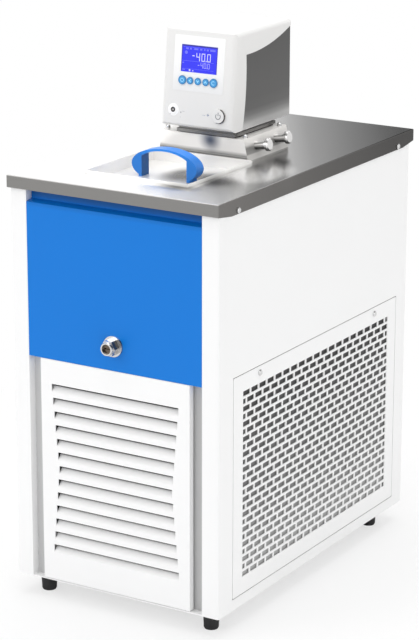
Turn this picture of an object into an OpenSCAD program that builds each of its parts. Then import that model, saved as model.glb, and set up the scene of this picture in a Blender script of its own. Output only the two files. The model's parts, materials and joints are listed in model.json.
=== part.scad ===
// Refrigerated circulator: a cooling bath with a control head on top, a cooling set below
// the bath and a lid that lifts off. Millimetres, +Z up, the front faces -Y, and the origin
// is on the floor below the middle of the whole outline.

/* [Cabinet] */
// Width of the stainless top plate
plate_w = 310; // [290:1:350]
// Depth of the stainless top plate, front to back
plate_d = 515; // [495:1:580]
// Height of the top plate's upper face above the floor
plate_z = 563; // [545:1:620]
// Thickness of the stainless top plate
plate_t = 1.5; // [1:0.1:2.5]
// Depth of the front and rear lips of the top plate
lip_front = 16; // [12:0.5:20]
// Depth of the side lips in their middle
lip_side = 20.4; // [20.4:0.1:26]
// How far the top plate stands out past the cabinet at each side
plate_over_side = 1.6; // [1.6:0.1:2.5]
// How far the top plate stands out past the cabinet front
plate_over_front = 4.8; // [3.5:0.1:8]
// How far the top plate stands out past the cabinet back
plate_over_back = 8.5; // [4:0.1:12]
// Distance of the lip screws from the plate's front and back edges
lip_screw_end = 46.5; // [35:0.5:60]
// Thickness of the painted cabinet sheet
sheet_t = 1.5; // [1:0.1:2]
// Width of each painted front post
post_w = 24.3; // [20:0.1:32]
// Width of the recessed channel beside the louvre panel
channel_w = 17.9; // [10:0.1:22]
// Depth of that channel, down to the front frame
channel_depth = 12; // [10:0.5:20]
// Height of the coloured upper front panel
upper_h = 201.5; // [194:0.5:212]
// Open height of the grip recess under the front lip
grip_open = 16.1; // [10:0.1:22]
// Depth of the grip recess
grip_depth = 11.6; // [7:0.1:12]

/* [Feet] */
// Height of the rubber feet
foot_h = 27; // [22:0.5:32]
// Diameter of a foot at the floor
foot_d = 19.4; // [16:0.1:22]
// Distance of the feet from the cabinet sides
foot_side = 28.5; // [20:0.5:40]
// Distance of the front feet from the cabinet front
foot_front = 30; // [20:0.5:45]
// Distance of the rear feet from the cabinet back
foot_rear = 43.5; // [25:0.5:60]

/* [Louvre panel] */
// Distance between one louvre and the next
louvre_pitch = 18.2; // [16:0.1:22]
// Height of a louvre opening
louvre_h = 10.7; // [8:0.1:13]
// Half length of the top and bottom louvres
louvre_long = 95; // [80:0.5:98]
// Half length of the middle louvre
louvre_short = 85.3; // [70:0.1:90]
// How far each louvre blade is bent inward
louvre_in = 6; // [3:0.1:8]
// Open gap above each louvre blade
louvre_gap = 4; // [1:0.1:5]
// Plain height above the first louvre
louvre_head = 32.2; // [20:0.1:45]
// Plain height left below the last louvre, at least
louvre_foot = 36; // [30:0.5:55]

/* [Side grille] */
// Distance of the grille panel from the cabinet front
grille_front = 35.1; // [28:0.1:60]
// Distance of the grille panel from the cabinet back
grille_back = 30.2; // [30:0.1:60]
// Distance of the grille panel from the cabinet bottom
grille_low = 15.6; // [14:0.1:40]
// Height of the grille panel
grille_h = 292; // [240:1:300]
// Length of one slot
slot_l = 17.2; // [12:0.1:18]
// Height of one slot
slot_h = 7; // [4:0.1:7.5]
// Distance between slots along a row
slot_pitch_y = 20.15; // [20:0.05:24]
// Distance between rows of slots
slot_pitch_z = 10; // [9:0.1:12]
// Plain border round the slots, at least
slot_border = 21.9; // [18:0.1:30]

/* [Bath] */
// Width of the lid and of the opening it drops into
lid_w = 152; // [130:1:160]
// Length of the lid, front to back
lid_l = 157; // [140:1:175]
// How far the lid's back edge is in front of the plate's middle
lid_back = 41.5; // [41.5:0.1:44]
// Height of the lid's rim above the top plate
lid_rise = 3.7; // [2:0.1:6]
// Depth of the lid's tray below its rim
lid_depth = 15.7; // [14:0.1:20]
// Thickness of the lid's sheet
lid_t = 1.2; // [0.8:0.1:1.6]
// Running gap between the lid and its opening
lid_gap = 0.5; // [0.3:0.1:1]
// Depth of the bath tank
tank_depth = 197; // [180:1:200]
// Thickness of the tank's steel
tank_t = 1.2; // [0.8:0.1:2]
// Thickness of the foam round the tank
foam_t = 28; // [15:1:30]

/* [Lid handle] */
// Width of the lid's oval handle
handle_w = 96.8; // [88:0.2:110]
// Height of the oval that the handle is cut from
handle_h = 44.6; // [36:0.2:50]
// Depth of the handle, front to back
handle_d = 17.4; // [12:0.2:24]
// Width of the finger opening
grip_w = 67; // [50:0.5:70]
// Thickness of the handle over the fingers
grip_t = 2.8; // [2.4:0.1:6]

/* [Bridge] */
// Height of the steel bridge under the control head
bridge_h = 29; // [24:0.5:34]
// Width of the bridge at its foot
bridge_w = 134; // [126:0.5:144]
// How much the bridge narrows at each side towards its top
bridge_draft = 4.8; // [2:0.1:6]
// How far the bridge's face leans forward towards its top
bridge_lean = 3; // [1:0.1:3.5]
// Thickness of the bridge's steel
bridge_t = 1.2; // [1:0.1:2]
// Outer diameter of a pump nozzle
nozzle_d = 12; // [9:0.1:13]
// Bore of a pump nozzle
nozzle_bore = 8; // [5:0.1:8.5]
// How far a nozzle stands out of the bridge
nozzle_out = 18; // [14:0.5:30]
// Distance between the two nozzles
nozzle_gap = 51; // [40:0.5:53]
// Distance of the nozzles' axes below the bridge's top
nozzle_drop = 12; // [11:0.1:13]
// Outer diameter of a nozzle cap
cap_d = 17; // [15:0.1:18]

/* [Control head] */
// Width of the control head
head_w = 106; // [100:0.5:116]
// Height of the control head
head_h = 126.5; // [118:0.5:140]
// Depth of the control head at its foot
head_d = 152.4; // [144:0.2:168]
// How far the head's front leans back from foot to top
head_lean = 13.5; // [6:0.1:16]
// Radius of the head's upright front edges
head_r = 6; // [4:0.2:8]
// Radius of the head's upper edges
head_top_r = 4.5; // [3:0.1:6]
// Wall of the plastic head cover
head_wall = 2.5; // [2:0.1:3.5]
// Width of the display window
lcd_w = 53.7; // [44:0.1:56]
// Height of the display window
lcd_h = 35; // [28:0.1:36]
// Diameter of the two outer keys
key_big = 11.4; // [10:0.1:11.6]
// Diameter of the three inner keys
key_small = 9.2; // [7:0.1:10]
// Distance between two keys
key_pitch = 11.65; // [11.6:0.05:12.4]
// Travel of a key
key_travel = 0.6; // [0.3:0.05:0.8]
// Diameter of the power button
button_d = 18.6; // [14:0.1:20]
// Travel of the power button
button_travel = 1.5; // [0.5:0.1:2]

/* [Pump] */
// Diameter of the pump shaft
shaft_d = 8; // [6:0.1:10]
// Radial running clearance of the shafts
shaft_play = 0.05; // [0.03:0.01:0.08]
// Outer diameter of the pump column
column_d = 26; // [24:0.2:30]
// Outer diameter of the pump chamber
chamber_d = 58; // [52:0.5:60]
// Radius of the heater's turns
heater_r = 35; // [34:0.1:37]
// Diameter of the heater's tube
heater_tube = 6; // [4:0.1:7]
// Radius of the cooling coil's turns
coil_r = 48; // [46:0.1:49]
// Diameter of the cooling coil's tube
coil_tube = 8; // [5:0.1:8.5]
// Distance between two turns of the cooling coil
coil_pitch = 14; // [12:0.1:16]

/* [Cooling set] */
// Diameter of the compressor's shell
compressor_d = 150; // [120:1:160]
// Height of the compressor's shell
compressor_h = 195; // [150:1:200]
// Width of the condenser
condenser_w = 190; // [160:1:200]
// Height of the condenser
condenser_h = 230; // [180:1:240]
// Thickness of the condenser
condenser_t = 26; // [20:0.5:30]
// Distance between two condenser fins
fin_pitch = 6; // [5:0.1:8]
// Diameter of the fan
fan_d = 170; // [140:1:176]

/* [Hidden] */

eps = 0.01;
round_fn = 64;
// Seat gap between pieces on different bodies
seat = 0.3;

// The drain port stands out furthest at the front, the top plate at the back
drain_out = 17;
mid_y = (drain_out - plate_over_front) / 2;

// Cabinet outline
body_w = plate_w - 2 * plate_over_side;
body_x = body_w / 2;
body_y0 = mid_y - plate_d / 2 + plate_over_front;
body_y1 = mid_y + plate_d / 2 - plate_over_back;
under_z = plate_z - plate_t;
post_x = body_x - post_w;
frame_y = body_y0 + channel_depth;
upper_z1 = plate_z - lip_front - grip_open;
upper_z0 = upper_z1 - upper_h;
bend_r = 2.5;
return_w = 20;
pan_z1 = foot_h + sheet_t;
pan_flange = 18;
pan_side_flange = 4.5;

// Louvre panel
louvre_w = 2 * (post_x - channel_w);
louvre_z0 = foot_h + 2.7;
louvre_z1 = upper_z0 - 0.5;
louvre_depth = 9;
louvre_zone = louvre_z1 - louvre_z0 - louvre_head - louvre_foot;
louvre_n = floor((louvre_zone - louvre_h) / louvre_pitch) + 1;
louvre_mid = (louvre_n - 1) / 2;
vent_x = louvre_w / 2 - 12;
vent_z0 = louvre_z0 + 20;
vent_z1 = louvre_z1 - 14;
magnet_d = 8;
magnet_in = 8;

// Side grille panel
grille_y0 = body_y0 + grille_front;
grille_y1 = body_y1 - grille_back;
grille_z0 = foot_h + grille_low;
grille_gap = 1;
slot_trim = 2.8;
ledge_w = 9;
row_l = grille_y1 - grille_y0 - 2 * slot_border - slot_trim;
slot_n = floor((row_l + slot_pitch_y - slot_l) / slot_pitch_y);
slot_rest = row_l - slot_n * slot_pitch_y;
row_n = floor((grille_h - 2 * slot_border - slot_h) / slot_pitch_z) + 1;
row_z0 = grille_z0 + (grille_h - (row_n - 1) * slot_pitch_z - slot_h) / 2;
screw_inset = 64;
screw_drop = 8.4;

// Bath and lid
lid_y1 = mid_y - lid_back;
lid_y0 = lid_y1 - lid_l;
lid_top = plate_z + lid_rise;
lid_floor = lid_top - lid_depth;
lid_bottom = lid_floor - lid_t;
opening_x = lid_w / 2 + lid_gap;
opening_y0 = lid_y0 - lid_gap;
opening_y1 = lid_y1 + lid_gap;
pump_x = 50;
pump_y = mid_y + 10;
pump_y0 = mid_y - 33;
pump_y1 = mid_y + 62;
ledge_z = lid_bottom - seat;
ledge_in = 7;
frame_wall = 3.5;
ledge_t = 1.5;
tank_top = ledge_z - ledge_t;
tank_x = opening_x - ledge_in;
tank_y0 = opening_y0 + ledge_in;
tank_y1 = pump_y1 + 2;
tank_z0 = tank_top - tank_depth;
foam_z0 = tank_z0 - tank_t - foam_t;

// Lid handle
handle_y = (lid_y0 + lid_y1) / 2 - 5;
handle_z = lid_floor + 16.3;
handle_foot = 4.5;
handle_shank_d = 2.5;
handle_steps = 64;
handle_screw_x = grip_w / 2 + handle_foot / 2;

// Bridge
bridge_y0 = mid_y - 38;
bridge_y1 = mid_y + 69;
bridge_z1 = plate_z + bridge_h;
bridge_tilt = atan(bridge_draft / bridge_h);
band_in = 1;
band_h = 4.3;
nozzle_z = bridge_z1 - nozzle_drop;
nozzle_x = bridge_half(nozzle_z);
nozzle_y = [mid_y + 13.5 - nozzle_gap / 2, mid_y + 13.5 + nozzle_gap / 2];
gasket_t = 2;
post_side = 58.5;
post_y = [mid_y - 30.5, mid_y + 58];
post_d = 6.4;

// Control head
base_z0 = bridge_z1 + gasket_t;
tray_h = 4.2;
neck_h = 2.4;
head_z0 = base_z0 + tray_h + neck_h;
head_z1 = head_z0 + head_h;
head_mid = pump_y + 8.8;
head_y0 = head_mid - head_d / 2;
head_y1 = head_mid + head_d / 2;
face_tilt = atan(head_lean / head_h);
chamfer_y = 11;
chamfer_z = 5;
steel_in = 0.6;
steel_t = 1;
head_x = head_w / 2;
wing_y = mid_y - 19.1;
wing_z = head_z0 + head_h - 29.5;
lcd_s = head_h - 35.6;
key_s = head_h - 63.9;
membrane_w = 75;
membrane_h = 71;
membrane_s = head_h - 41.9;
membrane_t = 0.4;
button_x = 33.9;
button_s = 21.2;
socket_x = -35;
socket_s = 23.3;
key_cap = 0.8;
stem_d = 5.5;
press_play = 0.25;

// Pump and bath fittings
motor_d = 62;
motor_h = 66;
motor_z0 = head_z0 + 2;
column_z0 = tank_z0 + 46;
chamber_h = 24;
chamber_z0 = column_z0 - chamber_h;
flange_z0 = base_z0 - 3;
flange_r = 38;
impeller_d = 42;

// Cooling set
condenser_y0 = frame_y + sheet_t + 5;
condenser_y1 = condenser_y0 + condenser_t;
condenser_z0 = pan_z1 + 12;
shroud_y1 = condenser_y1 + 34;
fan_z = condenser_z0 + condenser_h / 2;
fan_y = condenser_y1 + 18;
fan_shaft = 6;
fan_motor_y0 = shroud_y1 + 4;
compressor_x = -45;
compressor_behind = 56;
compressor_y = tank_y1 + compressor_behind;
grommet_h = 10;
compressor_z0 = pan_z1 + grommet_h;
drain_z = tank_z0 + 10.7;
drain_r = 5;

function oval(a, b, n) = [for (i = [0 : n - 1]) [a * cos(360 * i / n), b * sin(360 * i / n)]];
function cross3(a, b) = [a[1] * b[2] - a[2] * b[1], a[2] * b[0] - a[0] * b[2],
    a[0] * b[1] - a[1] * b[0]];
function unit(v) = v / norm(v);

// A block given by its lowest and highest corners
module block(p, q) {
    translate(p) cube([q[0] - p[0], q[1] - p[1], q[2] - p[2]]);
}

// Rectangle with round corners, given by its corners
module round_rect(p, q, r) {
    translate([p[0] + r, p[1]]) square([q[0] - p[0] - 2 * r, q[1] - p[1]]);
    translate([p[0], p[1] + r]) square([q[0] - p[0], q[1] - p[1] - 2 * r]);
    for (x = [p[0] + r, q[0] - r])
        for (y = [p[1] + r, q[1] - r])
            translate([x, y]) circle(r, $fn = round_fn);
}

// Extrude an outline drawn in Y and Z along X
module along_x(x0, x1) {
    translate([x0, 0, 0]) rotate([90, 0, 90]) linear_extrude(x1 - x0) children();
}

// Extrude an outline drawn in X and Z along Y
module along_y(y0, y1) {
    translate([0, y1, 0]) rotate([90, 0, 0]) linear_extrude(y1 - y0) children();
}

module rod(p, d, h) {
    translate(p) cylinder(h = h, d = d, $fn = round_fn);
}

module rod_x(p, d, h) {
    translate(p) rotate([0, 90, 0]) cylinder(h = h, d = d, $fn = round_fn);
}

module rod_y(p, d, h) {
    translate(p) rotate([-90, 0, 0]) cylinder(h = h, d = d, $fn = round_fn);
}

// Quarter bend of a tube, centred at p, in the plane that turn selects
module bend(p, r, d, turn) {
    translate(p) rotate(turn) rotate_extrude(angle = 90, $fn = round_fn)
        translate([r, 0]) circle(d = d, $fn = round_fn);
}

// Lowest face at z = 0, head uppermost, shank pointing down
module pan_screw(head_d, head_t, shank_d, shank_l) {
    cylinder(h = head_t * 0.55, d = head_d, $fn = round_fn);
    translate([0, 0, head_t * 0.55])
        cylinder(h = head_t * 0.45, d1 = head_d, d2 = head_d * 0.72, $fn = round_fn);
    translate([0, 0, -shank_l]) cylinder(h = shank_l + eps, d = shank_d, $fn = round_fn);
}

// Put a shape drawn flat onto the head's sloping face: x across, y up the slope, z outward
module on_face(x, s, z) {
    translate([0, head_y0, head_z0]) rotate([90 - face_tilt, 0, 0]) translate([x, s, z]) children();
}

foot_xs = [-(body_x - foot_side), body_x - foot_side];
foot_ys = [body_y0 + foot_front, body_y1 - foot_rear];
foot_top_d = foot_d + 2.4;
foot_bore = 5.6;
foot_recess = 6;
foot_recess_d = 12;

module base_pan() {
    x1 = body_x - sheet_t;
    y0 = frame_y + sheet_t;
    y1 = body_y1 - 2 * sheet_t;
    color("whitesmoke") difference() {
        union() {
            block([-x1, y0, foot_h], [x1, y1, pan_z1]);
            for (s = [-1, 1])
                block([min(s * x1, s * (x1 - sheet_t)), y0, foot_h],
                    [max(s * x1, s * (x1 - sheet_t)), y1, foot_h + pan_side_flange]);
            block([-x1, y1 - sheet_t, foot_h], [x1, y1, foot_h + pan_flange]);
            // Floor of the two channels beside the louvre panel
            block([-post_x, body_y0 + 1, foot_h], [post_x, y0, pan_z1]);
        }
        for (x = foot_xs)
            for (y = foot_ys)
                rod([x, y, foot_h - 1], foot_bore, sheet_t + 2);
    }
}

module foot_at(x, y) {
    translate([x, y, 0]) difference() {
        union() {
            cylinder(h = 2, d1 = foot_d - 2, d2 = foot_d, $fn = round_fn);
            translate([0, 0, 2]) cylinder(h = foot_h - 2, d1 = foot_d, d2 = foot_top_d, $fn = round_fn);
        }
        translate([0, 0, -1]) cylinder(h = foot_recess + 1, d = foot_recess_d, $fn = round_fn);
        translate([0, 0, -1]) cylinder(h = foot_h + 2, d = foot_bore, $fn = round_fn);
    }
}

module feet() {
    color("#222222") for (x = foot_xs) for (y = foot_ys) foot_at(x, y);
}

lip_screw_z = plate_z - lip_side + 4.6;
lip_screw_y = [mid_y - plate_d / 2 + lip_screw_end, mid_y + plate_d / 2 - lip_screw_end];
lip_screw_d = 7.4;
grille_screw_d = 8;
screw_head_t = 2.4;
screw_shank_d = 3.6;
lip_screw_l = 5;
grille_screw_l = 6;
foot_screw_d = 10;
foot_screw_t = 3;
foot_shank_d = 5;

module cabinet_screws() {
    color("silver") {
        for (s = [-1, 1])
            for (y = lip_screw_y)
                translate([s * plate_w / 2, y, lip_screw_z]) rotate([0, s * 90, 0])
                    pan_screw(lip_screw_d, screw_head_t, screw_shank_d, lip_screw_l);
        for (y = [grille_y0 + screw_inset, grille_y1 - screw_inset])
            translate([body_x, y, grille_z0 + grille_h - screw_drop]) rotate([0, 90, 0])
                pan_screw(grille_screw_d, screw_head_t, screw_shank_d, grille_screw_l);
        for (x = foot_xs)
            for (y = foot_ys)
                translate([x, y, foot_recess]) rotate([180, 0, 0])
                    pan_screw(foot_screw_d, foot_screw_t, foot_shank_d, pan_z1 - foot_recess);
    }
}

// Outline of one side wall in X and Y: side, front post, its inner return and the back return
module side_outline() {
    x1 = body_x;
    difference() {
        round_rect([-x1, body_y0], [x1, body_y1], bend_r);
        round_rect([-x1 + sheet_t, body_y0 + sheet_t], [x1 - sheet_t, body_y1 - sheet_t], bend_r - sheet_t);
        translate([-x1 - 1, body_y0 - 1]) square([x1 + 1 + post_x, mid_y - body_y0 + 1]);
        translate([-x1 - 1, mid_y - 1]) square([2 * x1 - return_w + 1, body_y1 - mid_y + 2]);
    }
    translate([post_x, body_y0]) square([sheet_t, channel_depth]);
}

module side_wall() {
    translate([0, 0, foot_h]) linear_extrude(under_z - foot_h) side_outline();
}

lip_hole_d = 3.8;

module side_panel_left() {
    color("white") difference() {
        mirror([1, 0, 0]) side_wall();
        for (y = lip_screw_y)
            rod_x([-body_x - 1, y, lip_screw_z], lip_hole_d, sheet_t + 2);
    }
}

module side_panel_right() {
    ring_x = body_x - sheet_t;
    color("white") difference() {
        union() {
            difference() {
                side_wall();
                block([ring_x - 1, grille_y0 - grille_gap, grille_z0 - grille_gap],
                    [body_x + 1, grille_y1 + grille_gap, grille_z0 + grille_h + grille_gap]);
            }
            // Joggled ledge that the grille panel lies on
            difference() {
                block([ring_x - sheet_t, grille_y0 - ledge_w, grille_z0 - ledge_w],
                    [ring_x, grille_y1 + ledge_w, grille_z0 + grille_h + ledge_w]);
                block([ring_x - sheet_t - 1, grille_y0 + ledge_w, grille_z0 + ledge_w],
                    [ring_x + 1, grille_y1 - ledge_w, grille_z0 + grille_h - 1.5 * ledge_w]);
            }
        }
        for (y = lip_screw_y)
            rod_x([body_x - 2 * sheet_t, y, lip_screw_z], lip_hole_d, 3 * sheet_t);
        for (y = [grille_y0 + screw_inset, grille_y1 - screw_inset])
            rod_x([body_x - 4 * sheet_t, y, grille_z0 + grille_h - screw_drop], lip_hole_d, 5 * sheet_t);
    }
}

inlet_x = 70;
inlet_z = 110;
inlet_w = 27;
inlet_h = 19.6;
rocker_x = 70;
rocker_z = 160;
rocker_w = 22;
rocker_h = 30;
back_slot_n = 14;
back_slot_pitch = 13;
back_slot_z = 220;

module back_panel() {
    y1 = body_y1 - sheet_t;
    color("white") difference() {
        block([-body_x + sheet_t + 1.2, y1 - sheet_t, pan_z1], [body_x - sheet_t - 1.2, y1, under_z]);
        block([inlet_x - inlet_w / 2, y1 - 5, inlet_z - inlet_h / 2],
            [inlet_x + inlet_w / 2, y1 + 5, inlet_z + inlet_h / 2]);
        block([rocker_x - rocker_w / 2, y1 - 5, rocker_z - rocker_h / 2],
            [rocker_x + rocker_w / 2, y1 + 5, rocker_z + rocker_h / 2]);
        for (i = [0 : back_slot_n - 1])
            translate([0, 0, back_slot_z - i * back_slot_pitch])
                block([-110, y1 - 5, 0], [30, y1 + 5, 5]);
    }
}

module front_frame() {
    z1 = upper_z0 + 15;
    color("white") difference() {
        block([-body_x + sheet_t, frame_y, pan_z1], [body_x - sheet_t, frame_y + sheet_t, z1]);
        block([-vent_x, frame_y - 1, vent_z0], [vent_x, frame_y + sheet_t + 1, vent_z1]);
    }
}

module slot(y0, y1, z) {
    translate([y0, z]) square([y1 - y0, slot_h]);
}

module side_grille() {
    ya = (grille_y0 + grille_y1 - row_l) / 2;
    yb = ya + row_l;
    color("white") difference() {
        along_x(body_x - sheet_t, body_x) difference() {
            round_rect([grille_y0, grille_z0], [grille_y1, grille_z0 + grille_h], 2);
            for (r = [0 : row_n - 1]) {
                z = row_z0 + r * slot_pitch_z;
                back_row = (row_n - 1 - r) % 2 == 0;
                for (i = [0 : slot_n - 1]) {
                    y = back_row ? ya + i * slot_pitch_y : yb - i * slot_pitch_y - slot_l;
                    slot(y, y + slot_l, z);
                }
                if (slot_rest > 2) {
                    if (back_row) slot(yb - slot_rest, yb, z);
                    else slot(ya, ya + slot_rest, z);
                }
            }
        }
        for (y = [grille_y0 + screw_inset, grille_y1 - screw_inset])
            rod_x([body_x - 3 * sheet_t, y, grille_z0 + grille_h - screw_drop], lip_hole_d, 5 * sheet_t);
    }
}

// Dark mesh sheet in a frame, held behind the side grille
module side_filter() {
    lap = 4;
    y0 = grille_y0 + lap;
    y1 = grille_y1 - lap;
    z0 = grille_z0 + lap;
    z1 = grille_z0 + grille_h - 1.5 * ledge_w + 2.5;
    bays = 4;
    step = (y1 - y0 - 8) / bays;
    color("dimgray") translate([body_x - 2 * sheet_t - 2.4, 0, 0]) difference() {
        block([0, y0, z0], [2.4, y1, z1]);
        for (i = [0 : bays - 1])
            block([-1, y0 + 8 + i * step, z0 + 8], [1.6, y0 + i * step + step, z1 - 8]);
    }
}

drain_hole_d = 14;

module front_panel() {
    y0 = body_y0;
    y1 = body_y0 + grip_depth;
    rise = 2.5;
    color("#2681de") difference() {
        along_x(-post_x + 0.3, post_x - 0.3) {
            translate([y0, upper_z0]) square([sheet_t, upper_z1 - upper_z0]);
            translate([y0, upper_z0]) square([channel_depth, sheet_t]);
            polygon([[y0, upper_z1], [y0 + sheet_t, upper_z1 - sheet_t], [y1, upper_z1 + rise - sheet_t],
                [y1, upper_z1 + rise]]);
            translate([y1 - eps, upper_z1 + rise - sheet_t])
                square([sheet_t + eps, under_z - upper_z1 - rise + sheet_t]);
        }
        rod_y([0, y0 - 1, drain_z], drain_hole_d, sheet_t + 2);
    }
}

// One louvre: its half length grows from the middle of the panel to its ends
function louvre_half(i) = louvre_short
    + (louvre_long - louvre_short) * abs(i - louvre_mid) / max(louvre_mid, 1);
function louvre_low(i) = louvre_z1 - louvre_head - louvre_h - i * louvre_pitch;

module louvre_panel() {
    t = 1.2;
    x1 = louvre_w / 2;
    y0 = body_y0;
    y1 = y0 + louvre_depth;
    color("white") {
        difference() {
            block([-x1, y0, louvre_z0], [x1, y1, louvre_z1]);
            block([-x1 + t, y0 + t, louvre_z0 + t], [x1 - t, y1 + 1, louvre_z1 - t]);
            for (i = [0 : louvre_n - 1])
                block([-louvre_half(i), y0 - 1, louvre_low(i)],
                    [louvre_half(i), y0 + t + 1, louvre_low(i) + louvre_h]);
        }
        for (i = [0 : louvre_n - 1])
            along_x(-louvre_half(i), louvre_half(i)) translate([y0, louvre_low(i)])
                polygon([[0, -t], [t, -t], [louvre_in + t, louvre_h - louvre_gap],
                    [louvre_in, louvre_h - louvre_gap], [0, 0]]);
        for (x = [-x1 + magnet_in, x1 - magnet_in])
            for (z = [louvre_z0 + magnet_in, louvre_z1 - magnet_in])
                rod_y([x, y0 + t - eps, z], magnet_d, frame_y - seat - y0 - t + eps);
    }
}

module dust_filter() {
    t = 3;
    y0 = frame_y + sheet_t;
    color("dimgray") difference() {
        block([-vent_x - 6, y0, vent_z0 - 6], [vent_x + 6, y0 + t, vent_z1 + 6]);
        for (i = [0 : 1])
            for (j = [0 : 3])
                translate([-vent_x + 4 + i * (vent_x - 1), 0, vent_z0 + 4 + j * (vent_z1 - vent_z0) / 4])
                    block([0, y0 + 1, 0], [vent_x - 7, y0 + t + 1, (vent_z1 - vent_z0) / 4 - 8]);
    }
}

// Side view of the top plate: the side lips are deeper in their middle
module plate_profile() {
    y = plate_d / 2;
    r = plate_t;
    taper = 31;
    translate([mid_y, 0]) {
        polygon([[-y, plate_z - lip_front], [-y + taper, plate_z - lip_side],
            [y - taper, plate_z - lip_side], [y, plate_z - lip_front], [y, plate_z - r],
            [y - r, plate_z - r], [y - r, plate_z], [-y + r, plate_z], [-y + r, plate_z - r],
            [-y, plate_z - r]]);
        for (s = [-1, 1]) translate([s * (y - r), plate_z - r]) circle(r, $fn = round_fn);
    }
}

module top_plate() {
    x = plate_w / 2;
    y0 = mid_y - plate_d / 2;
    y1 = mid_y + plate_d / 2;
    z = plate_z - lip_side - 1;
    color("silver") difference() {
        intersection() {
            along_x(-x, x) plate_profile();
            along_y(y0, y1) round_rect([-x, z - plate_t], [x, plate_z], plate_t);
        }
        block([-x + plate_t, y0 + plate_t, z - 1], [x - plate_t, y1 - plate_t, under_z]);
        translate([0, 0, under_z - 1]) linear_extrude(plate_t + 2)
            round_rect([-opening_x, opening_y0], [opening_x, opening_y1], 3);
        block([-pump_x, pump_y0, under_z - 1], [pump_x, pump_y1, plate_z + 1]);
        for (s = [-1, 1])
            for (y = lip_screw_y)
                rod_x([s * x - 3, y, lip_screw_z], lip_hole_d, 6);
    }
}

module bath_frame() {
    x1 = opening_x + frame_wall;
    color("gainsboro") difference() {
        block([-x1, opening_y0 - frame_wall, tank_top], [x1, tank_y1 + tank_t + frame_wall, under_z]);
        translate([0, 0, ledge_z]) linear_extrude(60)
            round_rect([-opening_x, opening_y0], [opening_x, opening_y1], 3);
        block([-tank_x, tank_y0, tank_top - 1], [tank_x, opening_y1 - ledge_in, ledge_z + 1]);
        block([-pump_x - 4, pump_y0 - 2, tank_top - 1], [pump_x + 4, tank_y1, under_z + 1]);
    }
}

tank_r = 14;

module bath_tank() {
    lip = 6;
    color("silver") difference() {
        union() {
            translate([0, 0, tank_z0 - tank_t]) linear_extrude(tank_depth + tank_t)
                round_rect([-tank_x - tank_t, tank_y0 - tank_t], [tank_x + tank_t, tank_y1 + tank_t], tank_r);
            block([-tank_x - lip, tank_y0 - lip, tank_top - tank_t], [tank_x + lip, tank_y1 + lip - 2, tank_top]);
        }
        translate([0, 0, tank_z0]) linear_extrude(tank_depth + 1)
            round_rect([-tank_x, tank_y0], [tank_x, tank_y1], tank_r - tank_t);
        rod_y([0, tank_y0 - 3, drain_z], 2 * drain_r, 6);
        for (k = [0, 1])
            rod_y([coil_end_x(k), tank_y1 - 1, coil_end_z(k)], coil_tube + 0.4, tank_t + 2);
    }
}

module tank_insulation() {
    x1 = tank_x + tank_t + foam_t;
    y0 = tank_y0 - tank_t - foam_t * 0.8;
    y1 = tank_y1 + tank_t + foam_t;
    color("khaki") difference() {
        block([-x1, y0, foam_z0], [x1, y1, tank_top - tank_t]);
        translate([0, 0, tank_z0 - tank_t]) linear_extrude(tank_depth + tank_t)
            round_rect([-tank_x - tank_t, tank_y0 - tank_t], [tank_x + tank_t, tank_y1 + tank_t], tank_r);
        rod_y([0, y0 - 1, drain_z], drain_hole_d, foam_t + 4);
        for (k = [0, 1]) {
            rod([coil_end_x(k), line_y, foam_z0 - 1], line_hole_d, coil_end_z(k) - foam_z0 + 10);
            rod_y([coil_end_x(k), tank_y1, coil_end_z(k)], line_hole_d + 4, line_y - tank_y1 + 8);
        }
    }
}

// The cooling coil's helix, its straight ends and the tube swept along them
coil_turns = 7.5;
coil_steps = 20;
coil_sides = 8;
coil_z0 = tank_z0 + 24;
line_d = 8;
line_hole_d = 12;
line_y = tank_y1 + tank_t + 15;
coil_n = coil_turns * coil_steps;
function coil_end_x(k) = k == 0 ? -coil_r : coil_r;
function coil_end_z(k) = coil_z0 + k * coil_turns * coil_pitch;
function coil_turn(i) = 180 + 360 * i / coil_steps;
coil_path = concat([[-coil_r, line_y - 4, coil_z0]],
    [for (i = [0 : coil_n]) [coil_r * cos(coil_turn(i)), pump_y + coil_r * sin(coil_turn(i)),
        coil_z0 + coil_pitch * i / coil_steps]],
    [[coil_r, line_y - 4, coil_end_z(1)]]);
coil_last = len(coil_path) - 1;
function coil_ring(i) = let (p = coil_path[i],
    d = unit(coil_path[min(i + 1, coil_last)] - coil_path[max(i - 1, 0)]),
    u = unit(cross3(d, [0, 0, 1])), v = cross3(u, d))
    [for (k = [0 : coil_sides - 1])
        p + coil_tube / 2 * (u * cos(360 * k / coil_sides) + v * sin(360 * k / coil_sides))];

module cooling_coil() {
    points = [for (i = [0 : coil_last]) each coil_ring(i)];
    ends = [[for (k = [0 : coil_sides - 1]) k],
        [for (k = [0 : coil_sides - 1]) coil_last * coil_sides + coil_sides - 1 - k]];
    sides = [for (i = [0 : coil_last - 1]) for (k = [0 : coil_sides - 1])
        [i * coil_sides + k, (i + 1) * coil_sides + k, (i + 1) * coil_sides + (k + 1) % coil_sides,
            i * coil_sides + (k + 1) % coil_sides]];
    color("silver") polyhedron(points, concat(ends, sides));
}

module drain_tube() {
    y0 = body_y0 + sheet_t;
    color("silver") difference() {
        rod_y([0, y0, drain_z], 2 * drain_r, tank_y0 - y0);
        rod_y([0, y0 - 1, drain_z], 2 * drain_r - 2, tank_y0 - y0 + 2);
    }
}

drain_flange_d = 27;
drain_flange_t = 2.5;
drain_hex_d = 21.4;
stub_d = 17.5;
stub_bore = 13;
stub_depth = 9;
plug_play = 0.05;

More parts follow.
